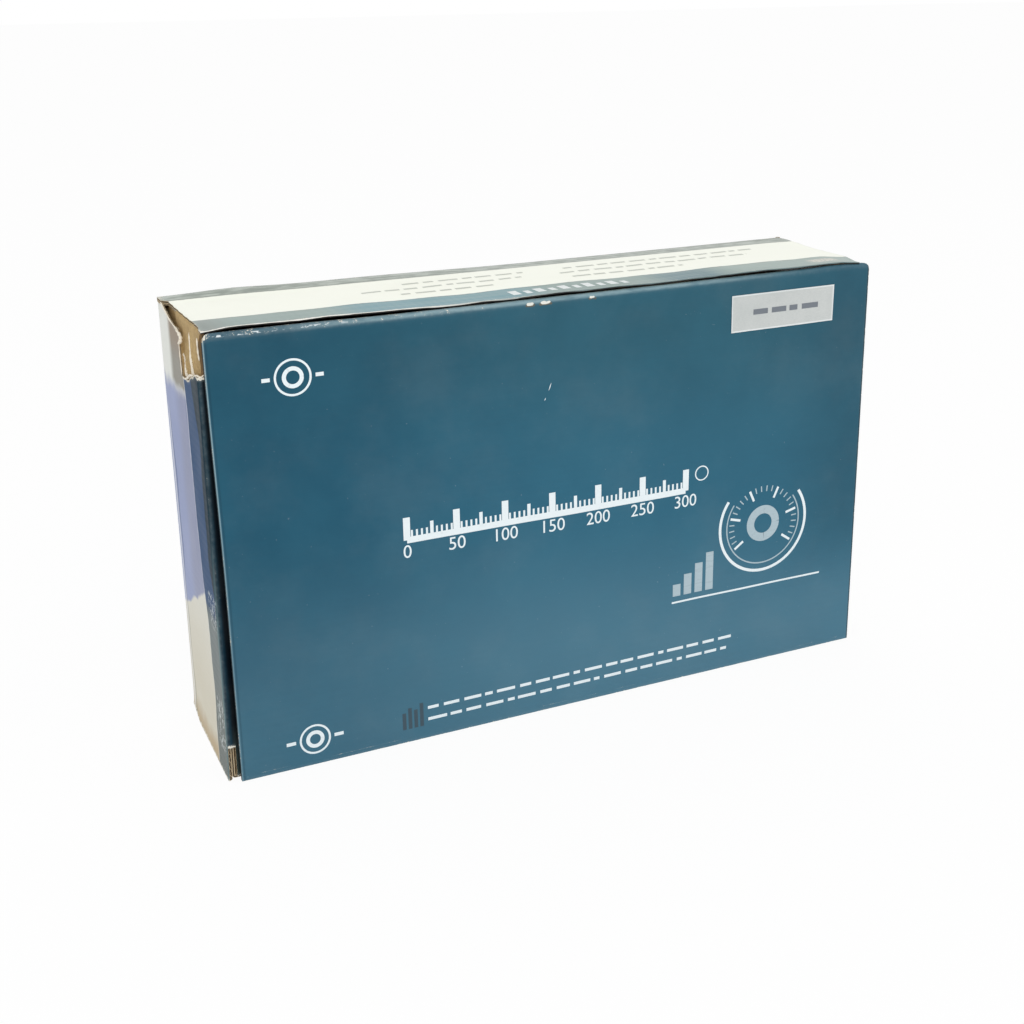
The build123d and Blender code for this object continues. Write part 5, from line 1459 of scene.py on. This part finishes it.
def make_top_print():
    """Faint rows of dashes on the pale band and the front strip of the top."""

    def on_top(a, b, w):
        return stacked(a, b, top_height(a, b) + 0.02 + w)

    surface = Surface()
    lines = ((10.2, (-43, 2), (18, 97)), (2.6, (-60, -2), (13, 90)), (-5.2, (-49, -16), (14, 58)))
    for k, (y, first, second) in enumerate(lines):
        dashes(surface, first, y, 1.6, 0.9 + k, on_top)
        dashes(surface, second, y, 1.6, 2.9 + k, on_top)
    for k in range(10):
        x = -15.6 + 4.5 * k
        ribbon(surface, [(x, -24.2), (x, -18.6 - 1.4 * (k % 2))], 3.0 - 0.9 * (k % 2), on_top, 1)
    faint, pale = ink("Faint ink", "b4b8ac"), ink("Pale ink", "dfe5e4")
    put(surface.build("top_small_print", [faint, pale]), "carton", slot="printed_board")


# Instrument


def bulb_profile():
    """Half outline of the bulb: two necks with collars, and a swell through three given shares of the radius."""
    low, high = span("inflation_bulb")
    length = high[0] - low[0]
    radius = (high[2] - low[2]) / 2
    neck, tail, neck_length = 8.4, 7.4, 8.0
    places = np.array([0, 0.10, 0.22, 0.50, 0.78, 0.93, 1.0])
    radii = np.array([neck, neck + 4.0, 0.80 * radius, radius, 0.86 * radius, tail + 6.4, tail])
    fine = np.linspace(0, 1, 90)
    swell_length = length - 2 * neck_length
    swell = catmull(places, radii, fine)
    run = np.concatenate([[0, 0.6, 2.4, 3.0, 6.6, neck_length - 0.8], neck_length + fine[1:-1] * swell_length,
                          length - neck_length + np.array([0.8, 5.0, 5.6, 7.4, 8.0])])
    out = np.concatenate([[neck - 0.4, neck, neck, neck - 0.5, neck - 0.5, neck], swell[1:-1],
                          [tail, tail, tail, tail, tail - 0.4]])
    return high[0] - run, out, low, high


def catmull(places, values, at):
    """Smooth interpolation through points: a cubic between each two, with slopes from their neighbours."""
    slopes = np.gradient(values, places)
    k = np.clip(np.searchsorted(places, at, side="right") - 1, 0, len(places) - 2)
    gap = places[k + 1] - places[k]
    t = (at - places[k]) / gap
    a, b = values[k], values[k + 1]
    ma, mb = slopes[k] * gap, slopes[k + 1] * gap
    return (2 * t**3 - 3 * t**2 + 1) * a + (t**3 - 2 * t**2 + t) * ma + (3 * t**2 - 2 * t**3) * b + (t**3 - t**2) * mb


def make_bulb():
    """The bulb: its outline turned round its axis, with a fine parting line, and an inner wall to close it."""
    place_x, radius, low, high = bulb_profile()
    centre_y, centre_z = (low[1] + high[1]) / 2, (low[2] + high[2]) / 2
    wall = 2.2
    sides = 72
    angle = np.linspace(0, 2 * np.pi, sides * 2 + 1)
    near = np.minimum(np.abs(np.mod(angle, np.pi)), np.abs(np.pi - np.mod(angle, np.pi)))
    ridge = 0.16 * np.exp(-((near * 22.0 / 0.5) ** 2))
    outer = radius[:, None] + ridge[None, :] * smooth(radius, 8.0, 10.0)[:, None]
    inner = np.broadcast_to(np.maximum(radius - wall, 5.2)[::-1, None], outer.shape)
    rings = np.concatenate([outer, inner])
    xs = np.concatenate([place_x, place_x[::-1]])
    points = stacked(
        np.broadcast_to(xs[:, None], rings.shape),
        centre_y + rings * np.cos(angle)[None, :],
        centre_z + rings * np.sin(angle)[None, :],
    )
    points = np.concatenate([points, points[:1]])
    surface = Surface()
    surface.add(points)
    black = rubber("Bulb rubber", instrument_settings().rubber_colour[:], 0.40)
    put(surface.build("bulb", [black], sharp=50), "carton", "inflation_bulb", slot="black_rubber")


def hose_route():
    """The hose's route in metres: out of the cuff's port, round one loose coil of two layers and into the nipple."""
    front_y, axis_y = -0.0121, -0.0035
    return [
        (0.06648, front_y, 0.130),
        (-0.103, front_y, 0.130),
        (-0.103, front_y, 0.084),
        (0.049, front_y, 0.084),
        (0.049, axis_y, 0.130),
        (-0.103, axis_y, 0.130),
        (-0.103, axis_y, 0.084),
        (-0.010, axis_y, 0.084),
        (-0.010, axis_y, 0.05205),
    ]


def nurbs_line(route, resolution=24):
    """Points of the NURBS spline whose control points are the route."""
    curve = bpy.data.curves.new("route", "CURVE")
    curve.dimensions = "3D"
    spline = curve.splines.new("NURBS")
    spline.points.add(len(route) - 1)
    for point, place in zip(spline.points, route):
        point.co = (*place, 1.0)
    spline.order_u = 3
    spline.use_endpoint_u = True
    spline.resolution_u = resolution
    made = bpy.data.objects.new("route", curve)
    mesh = bpy.data.meshes.new_from_object(made)
    line = np.zeros(len(mesh.vertices) * 3)
    mesh.vertices.foreach_get("co", line)
    bpy.data.objects.remove(made)
    bpy.data.meshes.remove(mesh)
    bpy.data.curves.remove(curve)
    return line.reshape(-1, 3) / MM


def make_hose():
    """The hose: a round section along the route's spline, open at both ends with its bore showing."""
    line = nurbs_line(hose_route())
    surface = Surface()
    sides = instrument_settings().hose_wall_sides
    tube(surface, line, 4.0, sides, caps=False)
    tube(surface, line, 2.3, sides, caps=False)
    outer, inner = surface.points
    outer, inner = outer.reshape(len(line), sides + 1, 3), inner.reshape(len(line), sides + 1, 3)
    for end in (0, -1):
        surface.add(np.stack([outer[end], inner[end]]))
    black = rubber("Hose rubber", instrument_settings().rubber_colour[:], 0.45)
    put(surface.build("hose", [black]), "carton", "hose", slot="black_rubber")


def make_tie():
    """The hook-and-loop tie round both layers of the hose: a rounded loop with a free end."""
    low, high = span("hose_tie")
    middle = (low + high) / 2
    half_y, half_z = (high[1] - low[1]) / 2, (high[2] - low[2]) / 2
    round_r = 4.4
    outline = [(0, -half_z), (half_y, -half_z), (half_y, half_z), (-half_y, half_z), (-half_y, -half_z), (0, -half_z)]
    path = round_path(outline, [round_r] * 4, arc_steps=8)

    def place(u, v, w):
        y, z = along(path, v, w)
        return stacked(u + 0.25 * np.sin(v / 5.0), middle[1] + y, middle[2] + z)

    runs = fine_runs(path, 1.0)
    board_piece("hose_tie_strap", ("carton", "hose_tie"), [pile("Tie pile", "2a2c31")], place,
                even(low[0], high[0], 1.0, edge=(0.3,)), 0.0, runs[-1], runs / runs[-1], thick=0.5, slots=(0, 0, 0),
                slot="hook_tape")


def cuff_line(half_turns, steps=26):
    """The roll's centreline seen from above: half rings about two centres by turns, each half a pitch wider than the
    last, from its core outwards. Returns points and outward normals."""
    low, high = span("cuff_wrap")
    thick, pitch = 3.7, 4.1
    outer = (high[0] - low[0]) / 2
    centre_x, centre_y = (high[0] + low[0]) / 2, low[1] + outer
    core = outer - thick / 2 - (half_turns - 1) * pitch / 2
    points, normals = [], []
    for k in range(half_turns):
        radius = core + k * pitch / 2
        shift = -pitch / 2 if k % 2 == 0 else 0.0
        turn = np.linspace(0, math.pi, steps)[: steps if k == half_turns - 1 else steps - 1]
        angle = turn + (0.0 if k % 2 == 0 else math.pi)
        normal = stacked(np.cos(angle), np.sin(angle))
        points.append(np.array([centre_x + shift, centre_y]) + radius * normal)
        normals.append(normal)
    return np.concatenate(points), np.concatenate(normals)


def make_cuff():
    """The rolled wrap: cloth with a pocket that swells between two bound edges, carried along the roll's line."""
    low, high = span("cuff_wrap")
    line, normal = cuff_line(10)
    run = run_lengths(line)
    height = high[2] - low[2]
    border = np.array([0.4, 1.0, 2.0, 3.4, 4.0, 4.6, 6.0])
    rise = together(np.linspace(0, height, 60), border, height - border)
    edge = np.minimum(rise, height - rise)
    binding = 1.35 * np.sqrt(np.clip(1 - ((edge - 1.9) / 1.9) ** 2, 0, 1)) * (edge < 3.8)
    pocket = 1.85 * smooth(edge, 3.4, 9.0) ** 0.5
    half = np.maximum(np.maximum(binding, pocket), 0.55) * np.where(edge <= 0, 0.25, 1)
    taper = smooth(run, 0, 4.0) * smooth(run[-1] - run, 0, 5.0) ** 0.5
    puff = 1 - 0.06 * (1 + np.sin(run[:, None] / 9.0) * np.sin(rise[None, :] / 11.0 + 1.0))
    half = np.maximum(half[None, :] * puff * (0.35 + 0.65 * taper[:, None]), 0.3)
    surface = Surface()
    z = low[2] + rise
    sides = []
    for sign in (1, -1):
        xy = line[:, None] + sign * normal[:, None] * half[..., None]
        sides.append(np.concatenate([xy, np.broadcast_to(z[None, :, None], (*half.shape, 1))], -1))
    uv = stacked(run[:, None], rise[None, :])
    bound = np.broadcast_to((edge < 3.8).astype(float)[None, :], half.shape)
    surface.add(sides[0], uv, bound)
    surface.add(sides[1], uv, bound, flip=True)
    for end in (0, -1):
        surface.add(np.stack([sides[0][end], sides[1][end]]), None, 1.0)
        surface.add(np.stack([sides[0][:, end], sides[1][:, end]]), None, 1.0)
    cloth = cuff_cloth()
    piece = surface.build("cuff_wrap_cloth", [cloth], sharp=60)
    put(piece, "carton", "cuff_wrap", "cuff_bladder", slot="cuff_cloth")


@look("Cuff cloth", depth=0.18, Sheen_Weight=0.3, Sheen_Roughness=0.4)
def cuff_cloth(g):
    """Woven nylon, darker on the binding, which the wear value marks."""
    colour = instrument_settings().cloth_colour[:]
    uv = g.surface_map()
    weave = g.use(weave_group(), Vector=uv, Pitch=0.55)
    bound = g.attribute("worn")
    tone = g.mix(g.fade(weave["Shade"], 0.1, 0.8), toned(colour, 0.5), toned(colour, 1.5))
    edging = g.mix(bound, tone, toned(colour, 0.55))
    return {"Base Color": edging, "Roughness": g.fade(weave["Height"], 0, 1.2, 0.85, 0.6),
            "Height": weave["Height"]}


def make_hook_pad():
    """The hook patch sewn on the cuff's front: a curved pad with a flat sewn border."""
    low, high = span("hook_pad")
    wrap_low, wrap_high = span("cuff_wrap")
    radius = (wrap_high[0] - wrap_low[0]) / 2
    centre = ((wrap_low[0] + wrap_high[0]) / 2, wrap_low[1] + radius)
    reach = math.asin((high[0] - low[0]) / 2 / (radius + 0.8)) * radius

    def place(u, v, w):
        near = np.minimum(reach - np.abs(u), np.minimum(v - low[2], high[2] - v))
        thick = 0.25 + 0.6 * smooth(near, 1.2, 2.6)
        depth = radius + thick * (1 - w / 0.8)
        angle = -math.pi / 2 + u / radius
        return stacked(centre[0] + depth * np.cos(angle), centre[1] + depth * np.sin(angle), v)

    border = (0.6, 1.2, 1.6, 2.1, 2.6)
    rises = even(low[2], high[2], 2.0, edge=border)
    board_piece("cuff_hook_pad", ("carton", "hook_pad"), [pile("Hook pile", "23262c")], place,
                even(-reach, reach, 1.2, edge=border), low[2], high[2], (rises - rises[0]) / (rises[-1] - rises[0]),
                thick=0.8, slots=(0, 0, 0), slot="hook_tape")


def make_pouch():
    """The zipped pouch: a bag lofted from a soft oval that swells towards its foot and wrinkles under the zip."""
    low, high = span("storage_pouch")
    width, depth, height = high - low
    rows = np.linspace(0, 1, 70)
    angle = np.linspace(0, 2 * np.pi, 161)
    power = 0.22
    cos, sin = np.cos(angle), np.sin(angle)
    flat_x = np.sign(cos) * np.abs(cos) ** power
    flat_y = np.sign(sin) * np.abs(sin) ** 0.75
    squeeze = np.clip(np.minimum(rows * height / 4.0, 1.0), 0, 1) ** 0.5
    thick = (0.42 + 0.58 * smooth(1 - rows, 0.04, 0.5)) * np.clip(squeeze, 0.02, 1)
    reach = (width / 2 - 0.8 * rows[:, None] ** 2) * (1 - 0.01 * (1 - squeeze[:, None]))
    x = (low[0] + high[0]) / 2 + flat_x[None, :] * reach
    fold = 0.35 * np.sin(x / 9.0 + 4.0 * rows[:, None]) * smooth(rows, 0.4, 1.0)[:, None]
    y = (low[1] + high[1]) / 2 + flat_y[None, :] * (depth / 2 - 0.4) * thick[:, None] + fold * 0.5
    z = np.broadcast_to(low[2] + rows[:, None] * height, x.shape)
    surface = Surface()
    points = stacked(x, y, z)
    uv = stacked(angle[None, :] * width / np.pi, rows[:, None] * height)
    surface.add(points, uv)
    for end in (0, -1):
        middle = stacked(points[end][:, 0], np.full(len(angle), points[end][:, 1].mean()), points[end][:, 2])
        surface.add(np.stack([middle, points[end]]))

    def build(g):
        vector = g.place()
        grain = g.add("ShaderNodeTexVoronoi", {"Vector": vector, "Scale": 0.9}).outputs["Distance"]
        wrinkle = g.noise(g.stretched(vector, (0.4, 1.0, 0.12)), 0.35, 4.0, 0.6)
        base = g.mix(g.fade(wrinkle, 0.3, 0.7), "1c2026", "2b3038")
        return {"Base Color": base, "Roughness": g.fade(grain, 0, 0.7, 0.36, 0.5),
                "Height": g.times_plus(wrinkle, 1.5, g.times(grain, 0.5))}

    vinyl = material("Pouch vinyl", build, depth=0.3)
    put(surface.build("pouch", [vinyl], sharp=60), "carton", "storage_pouch", slot="pouch_vinyl")


def make_leaflet():
    """The leaflet: a sheet of paper folded to and fro into four layers, a little apart."""
    low, high = span("leaflet")
    layers = 4
    thick = 0.16
    gap = (high[1] - low[1] - thick) / (layers - 1)
    outline = []
    for k in range(layers):
        y = low[1] + thick / 2 + gap * k
        ends = (low[2] + 0.3, high[2] - 0.3) if k % 2 == 0 else (high[2] - 0.3, low[2] + 0.3)
        outline += [(y, ends[0]), (y, ends[1])]
    path = round_path(outline, [gap / 2 * 0.98] * (len(outline) - 2), arc_steps=5)

    def place(u, v, w):
        y, z = along(path, v, w - thick / 2)
        return stacked(u, y, z)

    runs = fine_runs(path, 8.0)
    paper = plain_paper("Leaflet paper", "ecece6", 0.75, "b9bdb9")
    piece = board_piece("folded_leaflet", ("carton", "leaflet"), [paper], place, even(low[0], high[0], 10.0), 0.0,
                        runs[-1], runs / runs[-1], thick=thick, slots=(0, 0, 0), slot="leaflet_paper")


# The dial's centre, as x and z
GAUGE_CENTRE = ((dial_low[0] + dial_high[0]) / 2, (dial_low[2] + dial_high[2]) / 2)


def on_dial(a, b, w):
    """A place on the dial's face at (x, z)."""
    return stacked(a, np.full_like(a, dial_low[1] - 0.02) - w, b)


def dial_point(radius, value):
    """Point of the dial at a radius and a scale value: zero stands past the stem and the scale runs clockwise."""
    angle = math.radians(150.0 - value)
    return GAUGE_CENTRE[0] + radius * math.cos(angle), GAUGE_CENTRE[1] + radius * math.sin(angle)


def make_dial_print():
    """The gauge's scale: a mark every 2, longer every 10, longest every 20 with its number."""
    black = ink("Dial ink", instrument_settings().dial_ink[:])
    surface = Surface()
    for value in range(0, 301, 2):
        inner = 19.6 if value % 20 == 0 else 20.6 if value % 10 == 0 else 21.6
        width = 0.5 if value % 20 == 0 else 0.32 if value % 10 == 0 else 0.18
        ribbon(surface, [dial_point(inner, value), dial_point(23.2, value)], width, on_dial)
    ribbon(surface, arc(GAUGE_CENTRE, 23.3, -150, 150, 120), 0.25, on_dial)
    put(surface.build("dial_scale", [black]), "carton", slot="dial_paint")
    words = []
    for value in range(20, 301, 20):
        x, z = dial_point(15.0, value)
        words.append((str(value), (x, float(dial_low[1]) - 0.035, z)))
    height = instrument_settings().number_height / MM * 0.8
    put(text_mesh(words, height, (0, 0, -1), (1, 0, 0), "dial_numbers", black), "carton", slot="dial_paint")


# Finishes of the CAD nodes that stay


def finish_nodes():
    """Gives every CAD node that stays visible its own finish."""
    settings = instrument_settings()
    finishes = (
        (metal("Chrome", "dfe2e4", 0.10, (0.4, 2.0, 2.0), "8c8f94"),
         "valve_block valve_knob gauge_stem stem_nut gauge_bezel inlet_valve_body"),
        (metal("Brushed brass", settings.brass_colour[:], 0.28),
         "base_plate top_plate movement_pillars sector_gear pinion_arbor rocker_brackets hairspring_stud "
         "valve_spindle"),
        (metal("Bright steel", "c9ccd0", 0.22, (2.0, 2.0, 2.0), "7a7c80"),
         "movement_screws dial_screws rocker push_stud inlet_ball outlet_ball inlet_screen zip_slider"),
        (metal("Spring alloy", "c79a68", 0.30, (1.5, 1.5, 1.5)), "capsule capsule_feed_tube hairspring"),
        (paint("Case enamel", "1b1c1f"), "gauge_case"),
        (paint("Pointer enamel", "101114", 0.4), "pointer"),
        (paint("Dial enamel", settings.dial_colour[:], 0.55, "c9c9c2"), "dial"),
        (rubber("Port rubber", settings.rubber_colour[:], 0.5), "cuff_port"),
        (rubber("Seal rubber", "151517", 0.35), "spindle_ring lens_gasket"),
        (paint("Zip nylon", "1d2025", 0.5), "pouch_zip"),
        (plain_paper("Insert card", "dedcd2", 0.75, "b8b4a6"), "insert_deck insert_left_leg insert_right_leg"),
        (clear_lens(), "gauge_lens"),
    )
    for made, names in finishes:
        for name in names.split():
            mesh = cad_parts[name].data
            mesh.materials.clear()
            mesh.materials.append(made)


# Stage


def make_camera():
    """The camera at the photograph's angle: it looks along minus the back direction and is rolled about it."""
    settings = stage_settings()
    azimuth, elevation, roll = settings.azimuth, settings.elevation, settings.roll
    back = Vector((math.sin(azimuth) * math.cos(elevation), -math.cos(azimuth) * math.cos(elevation),
                   math.sin(elevation)))
    right = Vector((math.cos(azimuth), math.sin(azimuth), 0.0))
    up = back.cross(right)
    turned_right = right * math.cos(roll) + up * math.sin(roll)
    turned_up = up * math.cos(roll) - right * math.sin(roll)
    data = bpy.data.cameras.new("Camera")
    data.lens, data.sensor_width, data.shift_y = settings.focal_length, 36.0, settings.rise
    data.clip_start, data.clip_end = 0.01, 100.0
    camera = linked("Camera", data)
    camera.matrix_world = Matrix.Translation(settings.camera_place) @ Matrix(
        (turned_right, turned_up, back)).transposed().to_4x4()
    bpy.context.scene.camera = camera


def seen_directly(g):
    """1 for rays from the camera, and for those that reach here by reflection or through glass."""
    rays = g.add("ShaderNodeLightPath").outputs
    seen = g.plus(rays["Is Camera Ray"], rays["Is Glossy Ray"], clamp=True)
    return g.plus(seen, rays["Is Transmission Ray"], clamp=True)


def make_floor():
    """The pale floor, which keeps the object's shadow."""
    floor = bpy.data.materials.new("Floor")
    floor.use_nodes = True
    g = Graph(floor.node_tree)
    shader = next(n for n in floor.node_tree.nodes if n.type == "BSDF_PRINCIPLED")
    output = next(n for n in floor.node_tree.nodes if n.type == "OUTPUT_MATERIAL")
    grain = g.noise(g.place(), 0.02, 3.0)
    colour = stage_settings().floor_colour[:]
    g.feed(shader.inputs["Base Color"], g.mix(g.fade(grain, 0.3, 0.7, 0.0, 0.03), colour, (0.8, 0.8, 0.8)))
    g.feed(shader.inputs["Roughness"], 0.9)
    glow = g.add("ShaderNodeEmission", {"Color": (1.0, 1.0, 1.0), "Strength": 1.0})
    share = g.times(seen_directly(g), 0.93)
    mixed = g.add("ShaderNodeMixShader", {0: share, 1: shader.outputs[0], 2: glow.outputs[0]})
    g.feed(output.inputs[0], mixed.outputs[0])
    surface = Surface()
    reach = np.linspace(-20000, 20000, 9)
    x, y = np.meshgrid(reach, reach, indexing="ij")
    surface.add(stacked(x, y, -0.05))
    surface.build("floor", [floor])


def make_lamp(name, place, target, size, power):
    """A square lamp that points at its target."""
    data = bpy.data.lights.new(name, "AREA")
    data.shape, data.size, data.energy = "SQUARE", size, power
    lamp = linked(name, data)
    direction = Vector(target) - Vector(place)
    lamp.matrix_world = Matrix.Translation(place) @ direction.to_track_quat("-Z", "Y").to_matrix().to_4x4()


def make_sky():
    """Even white light all round, and plain white where the camera sees it."""
    world = bpy.data.worlds.new("Sky")
    world.use_nodes = True
    bpy.context.scene.world = world
    g = Graph(world.node_tree)
    background = next(n for n in world.node_tree.nodes if n.type == "BACKGROUND")
    strength = stage_settings().sky_strength
    g.feed(background.inputs["Color"], (1.0, 1.0, 1.0))
    g.feed(background.inputs["Strength"], g.times_plus(seen_directly(g), 1.0 - strength, strength))


# Operators


class StageOperator(bpy.types.Operator):
    """Set up the camera, the pale floor and the soft light"""

    bl_idname = "sphyg.stage"
    bl_label = "Camera, floor and light"

    def execute(self, context):
        context.scene.view_settings.view_transform = "Standard"
        make_camera()
        make_floor()
        make_sky()
        make_lamp("Key", (-0.55, -1.1, 1.35), (0, 0, 0.07), 1.0, stage_settings().key_strength)
        make_lamp("Fill", (1.3, -0.9, 0.7), (0, 0, 0.07), 1.2, stage_settings().key_strength * 0.3)
        return {"FINISHED"}


class TrayOperator(bpy.types.Operator):
    """Build the carton's back, bottom, top, rolled sides, corner flaps and torn paper"""

    bl_idname = "sphyg.tray"
    bl_label = "Carton tray"

    def execute(self, context):
        make_back()
        make_bottom()
        make_top()
        make_side("left", -1, left_print())
        make_side("right", 1, right_print())
        for row, up in (("bottom", 1), ("top", -1)):
            for name, side in (("left", -1), ("right", 1)):
                make_corner_flap(f"{row}_{name}", side, up)
        make_torn_paper()
        return {"FINISHED"}


class LidOperator(bpy.types.Operator):
    """Build the lid, its fold, tuck flap, ears and label"""

    bl_idname = "sphyg.lid"
    bl_label = "Carton lid"

    def execute(self, context):
        make_lid()
        make_hinge_fold()
        make_tuck_flap()
        make_ear("left", -1)
        make_ear("right", 1)
        make_label()
        return {"FINISHED"}


class PrintOperator(bpy.types.Operator):
    """Print the plain scale, the device and the small marks"""

    bl_idname = "sphyg.print"
    bl_label = "Printed marks"

    def execute(self, context):
        settings = carton_settings()
        white = ink("White ink", settings.ink_colour[:])
        silver = ink("Silver ink", settings.silver_colour[:], 0.3)
        make_lid_scale(white)
        make_lid_device(white, silver)
        make_lid_small_print(white)
        make_label_print()
        make_top_print()
        return {"FINISHED"}


class RubberOperator(bpy.types.Operator):
    """Build the bulb, the hose and its tie"""

    bl_idname = "sphyg.rubber"
    bl_label = "Bulb and hose"

    def execute(self, context):
        make_bulb()
        make_hose()
        make_tie()
        return {"FINISHED"}


class CuffOperator(bpy.types.Operator):
    """Build the rolled cuff and its hook patch"""

    bl_idname = "sphyg.cuff"
    bl_label = "Cuff"

    def execute(self, context):
        make_cuff()
        make_hook_pad()
        return {"FINISHED"}


class PouchOperator(bpy.types.Operator):
    """Build the storage pouch and the folded leaflet"""

    bl_idname = "sphyg.pouch"
    bl_label = "Pouch and leaflet"

    def execute(self, context):
        make_pouch()
        make_leaflet()
        return {"FINISHED"}


class GaugeOperator(bpy.types.Operator):
    """Print the gauge's dial and finish the metal, glass and card"""

    bl_idname = "sphyg.gauge"
    bl_label = "Gauge and finishes"

    def execute(self, context):
        make_dial_print()
        finish_nodes()
        return {"FINISHED"}


OPERATORS = (StageOperator, TrayOperator, LidOperator, PrintOperator, RubberOperator, CuffOperator, PouchOperator,
             GaugeOperator)
SETTINGS = {"sphyg_carton": CartonSettings, "sphyg_instrument": InstrumentSettings, "sphyg_stage": StageSettings}


class SphygPanel(bpy.types.Panel):
    """Sizes, colours and pieces of the boxed sphygmomanometer"""

    bl_idname = "VIEW3D_PT_sphyg"
    bl_label = "Sphygmomanometer"
    bl_space_type = "VIEW_3D"
    bl_region_type = "UI"
    bl_category = "Sphygmomanometer"

    def draw(self, context):
        for name, group in SETTINGS.items():
            box = self.layout.box()
            box.label(text=group.__doc__)
            for label in group.__annotations__:
                box.prop(getattr(context.scene, name), label)
        for operator in OPERATORS:
            self.layout.operator(operator.bl_idname)


CLASSES = (*SETTINGS.values(), *OPERATORS, SphygPanel)


def register():
    for cls in CLASSES:
        bpy.utils.register_class(cls)
    for name, group in SETTINGS.items():
        setattr(bpy.types.Scene, name, PointerProperty(type=group))


def unregister():
    for name in SETTINGS:
        delattr(bpy.types.Scene, name)
    for cls in reversed(CLASSES):
        bpy.utils.unregister_class(cls)


def main():
    """Registers the add-on and builds every piece."""
    register()
    for operator in OPERATORS:
        group, name = operator.bl_idname.split(".")
        getattr(getattr(bpy.ops, group), name)()


if __name__ == "__main__":
    main()
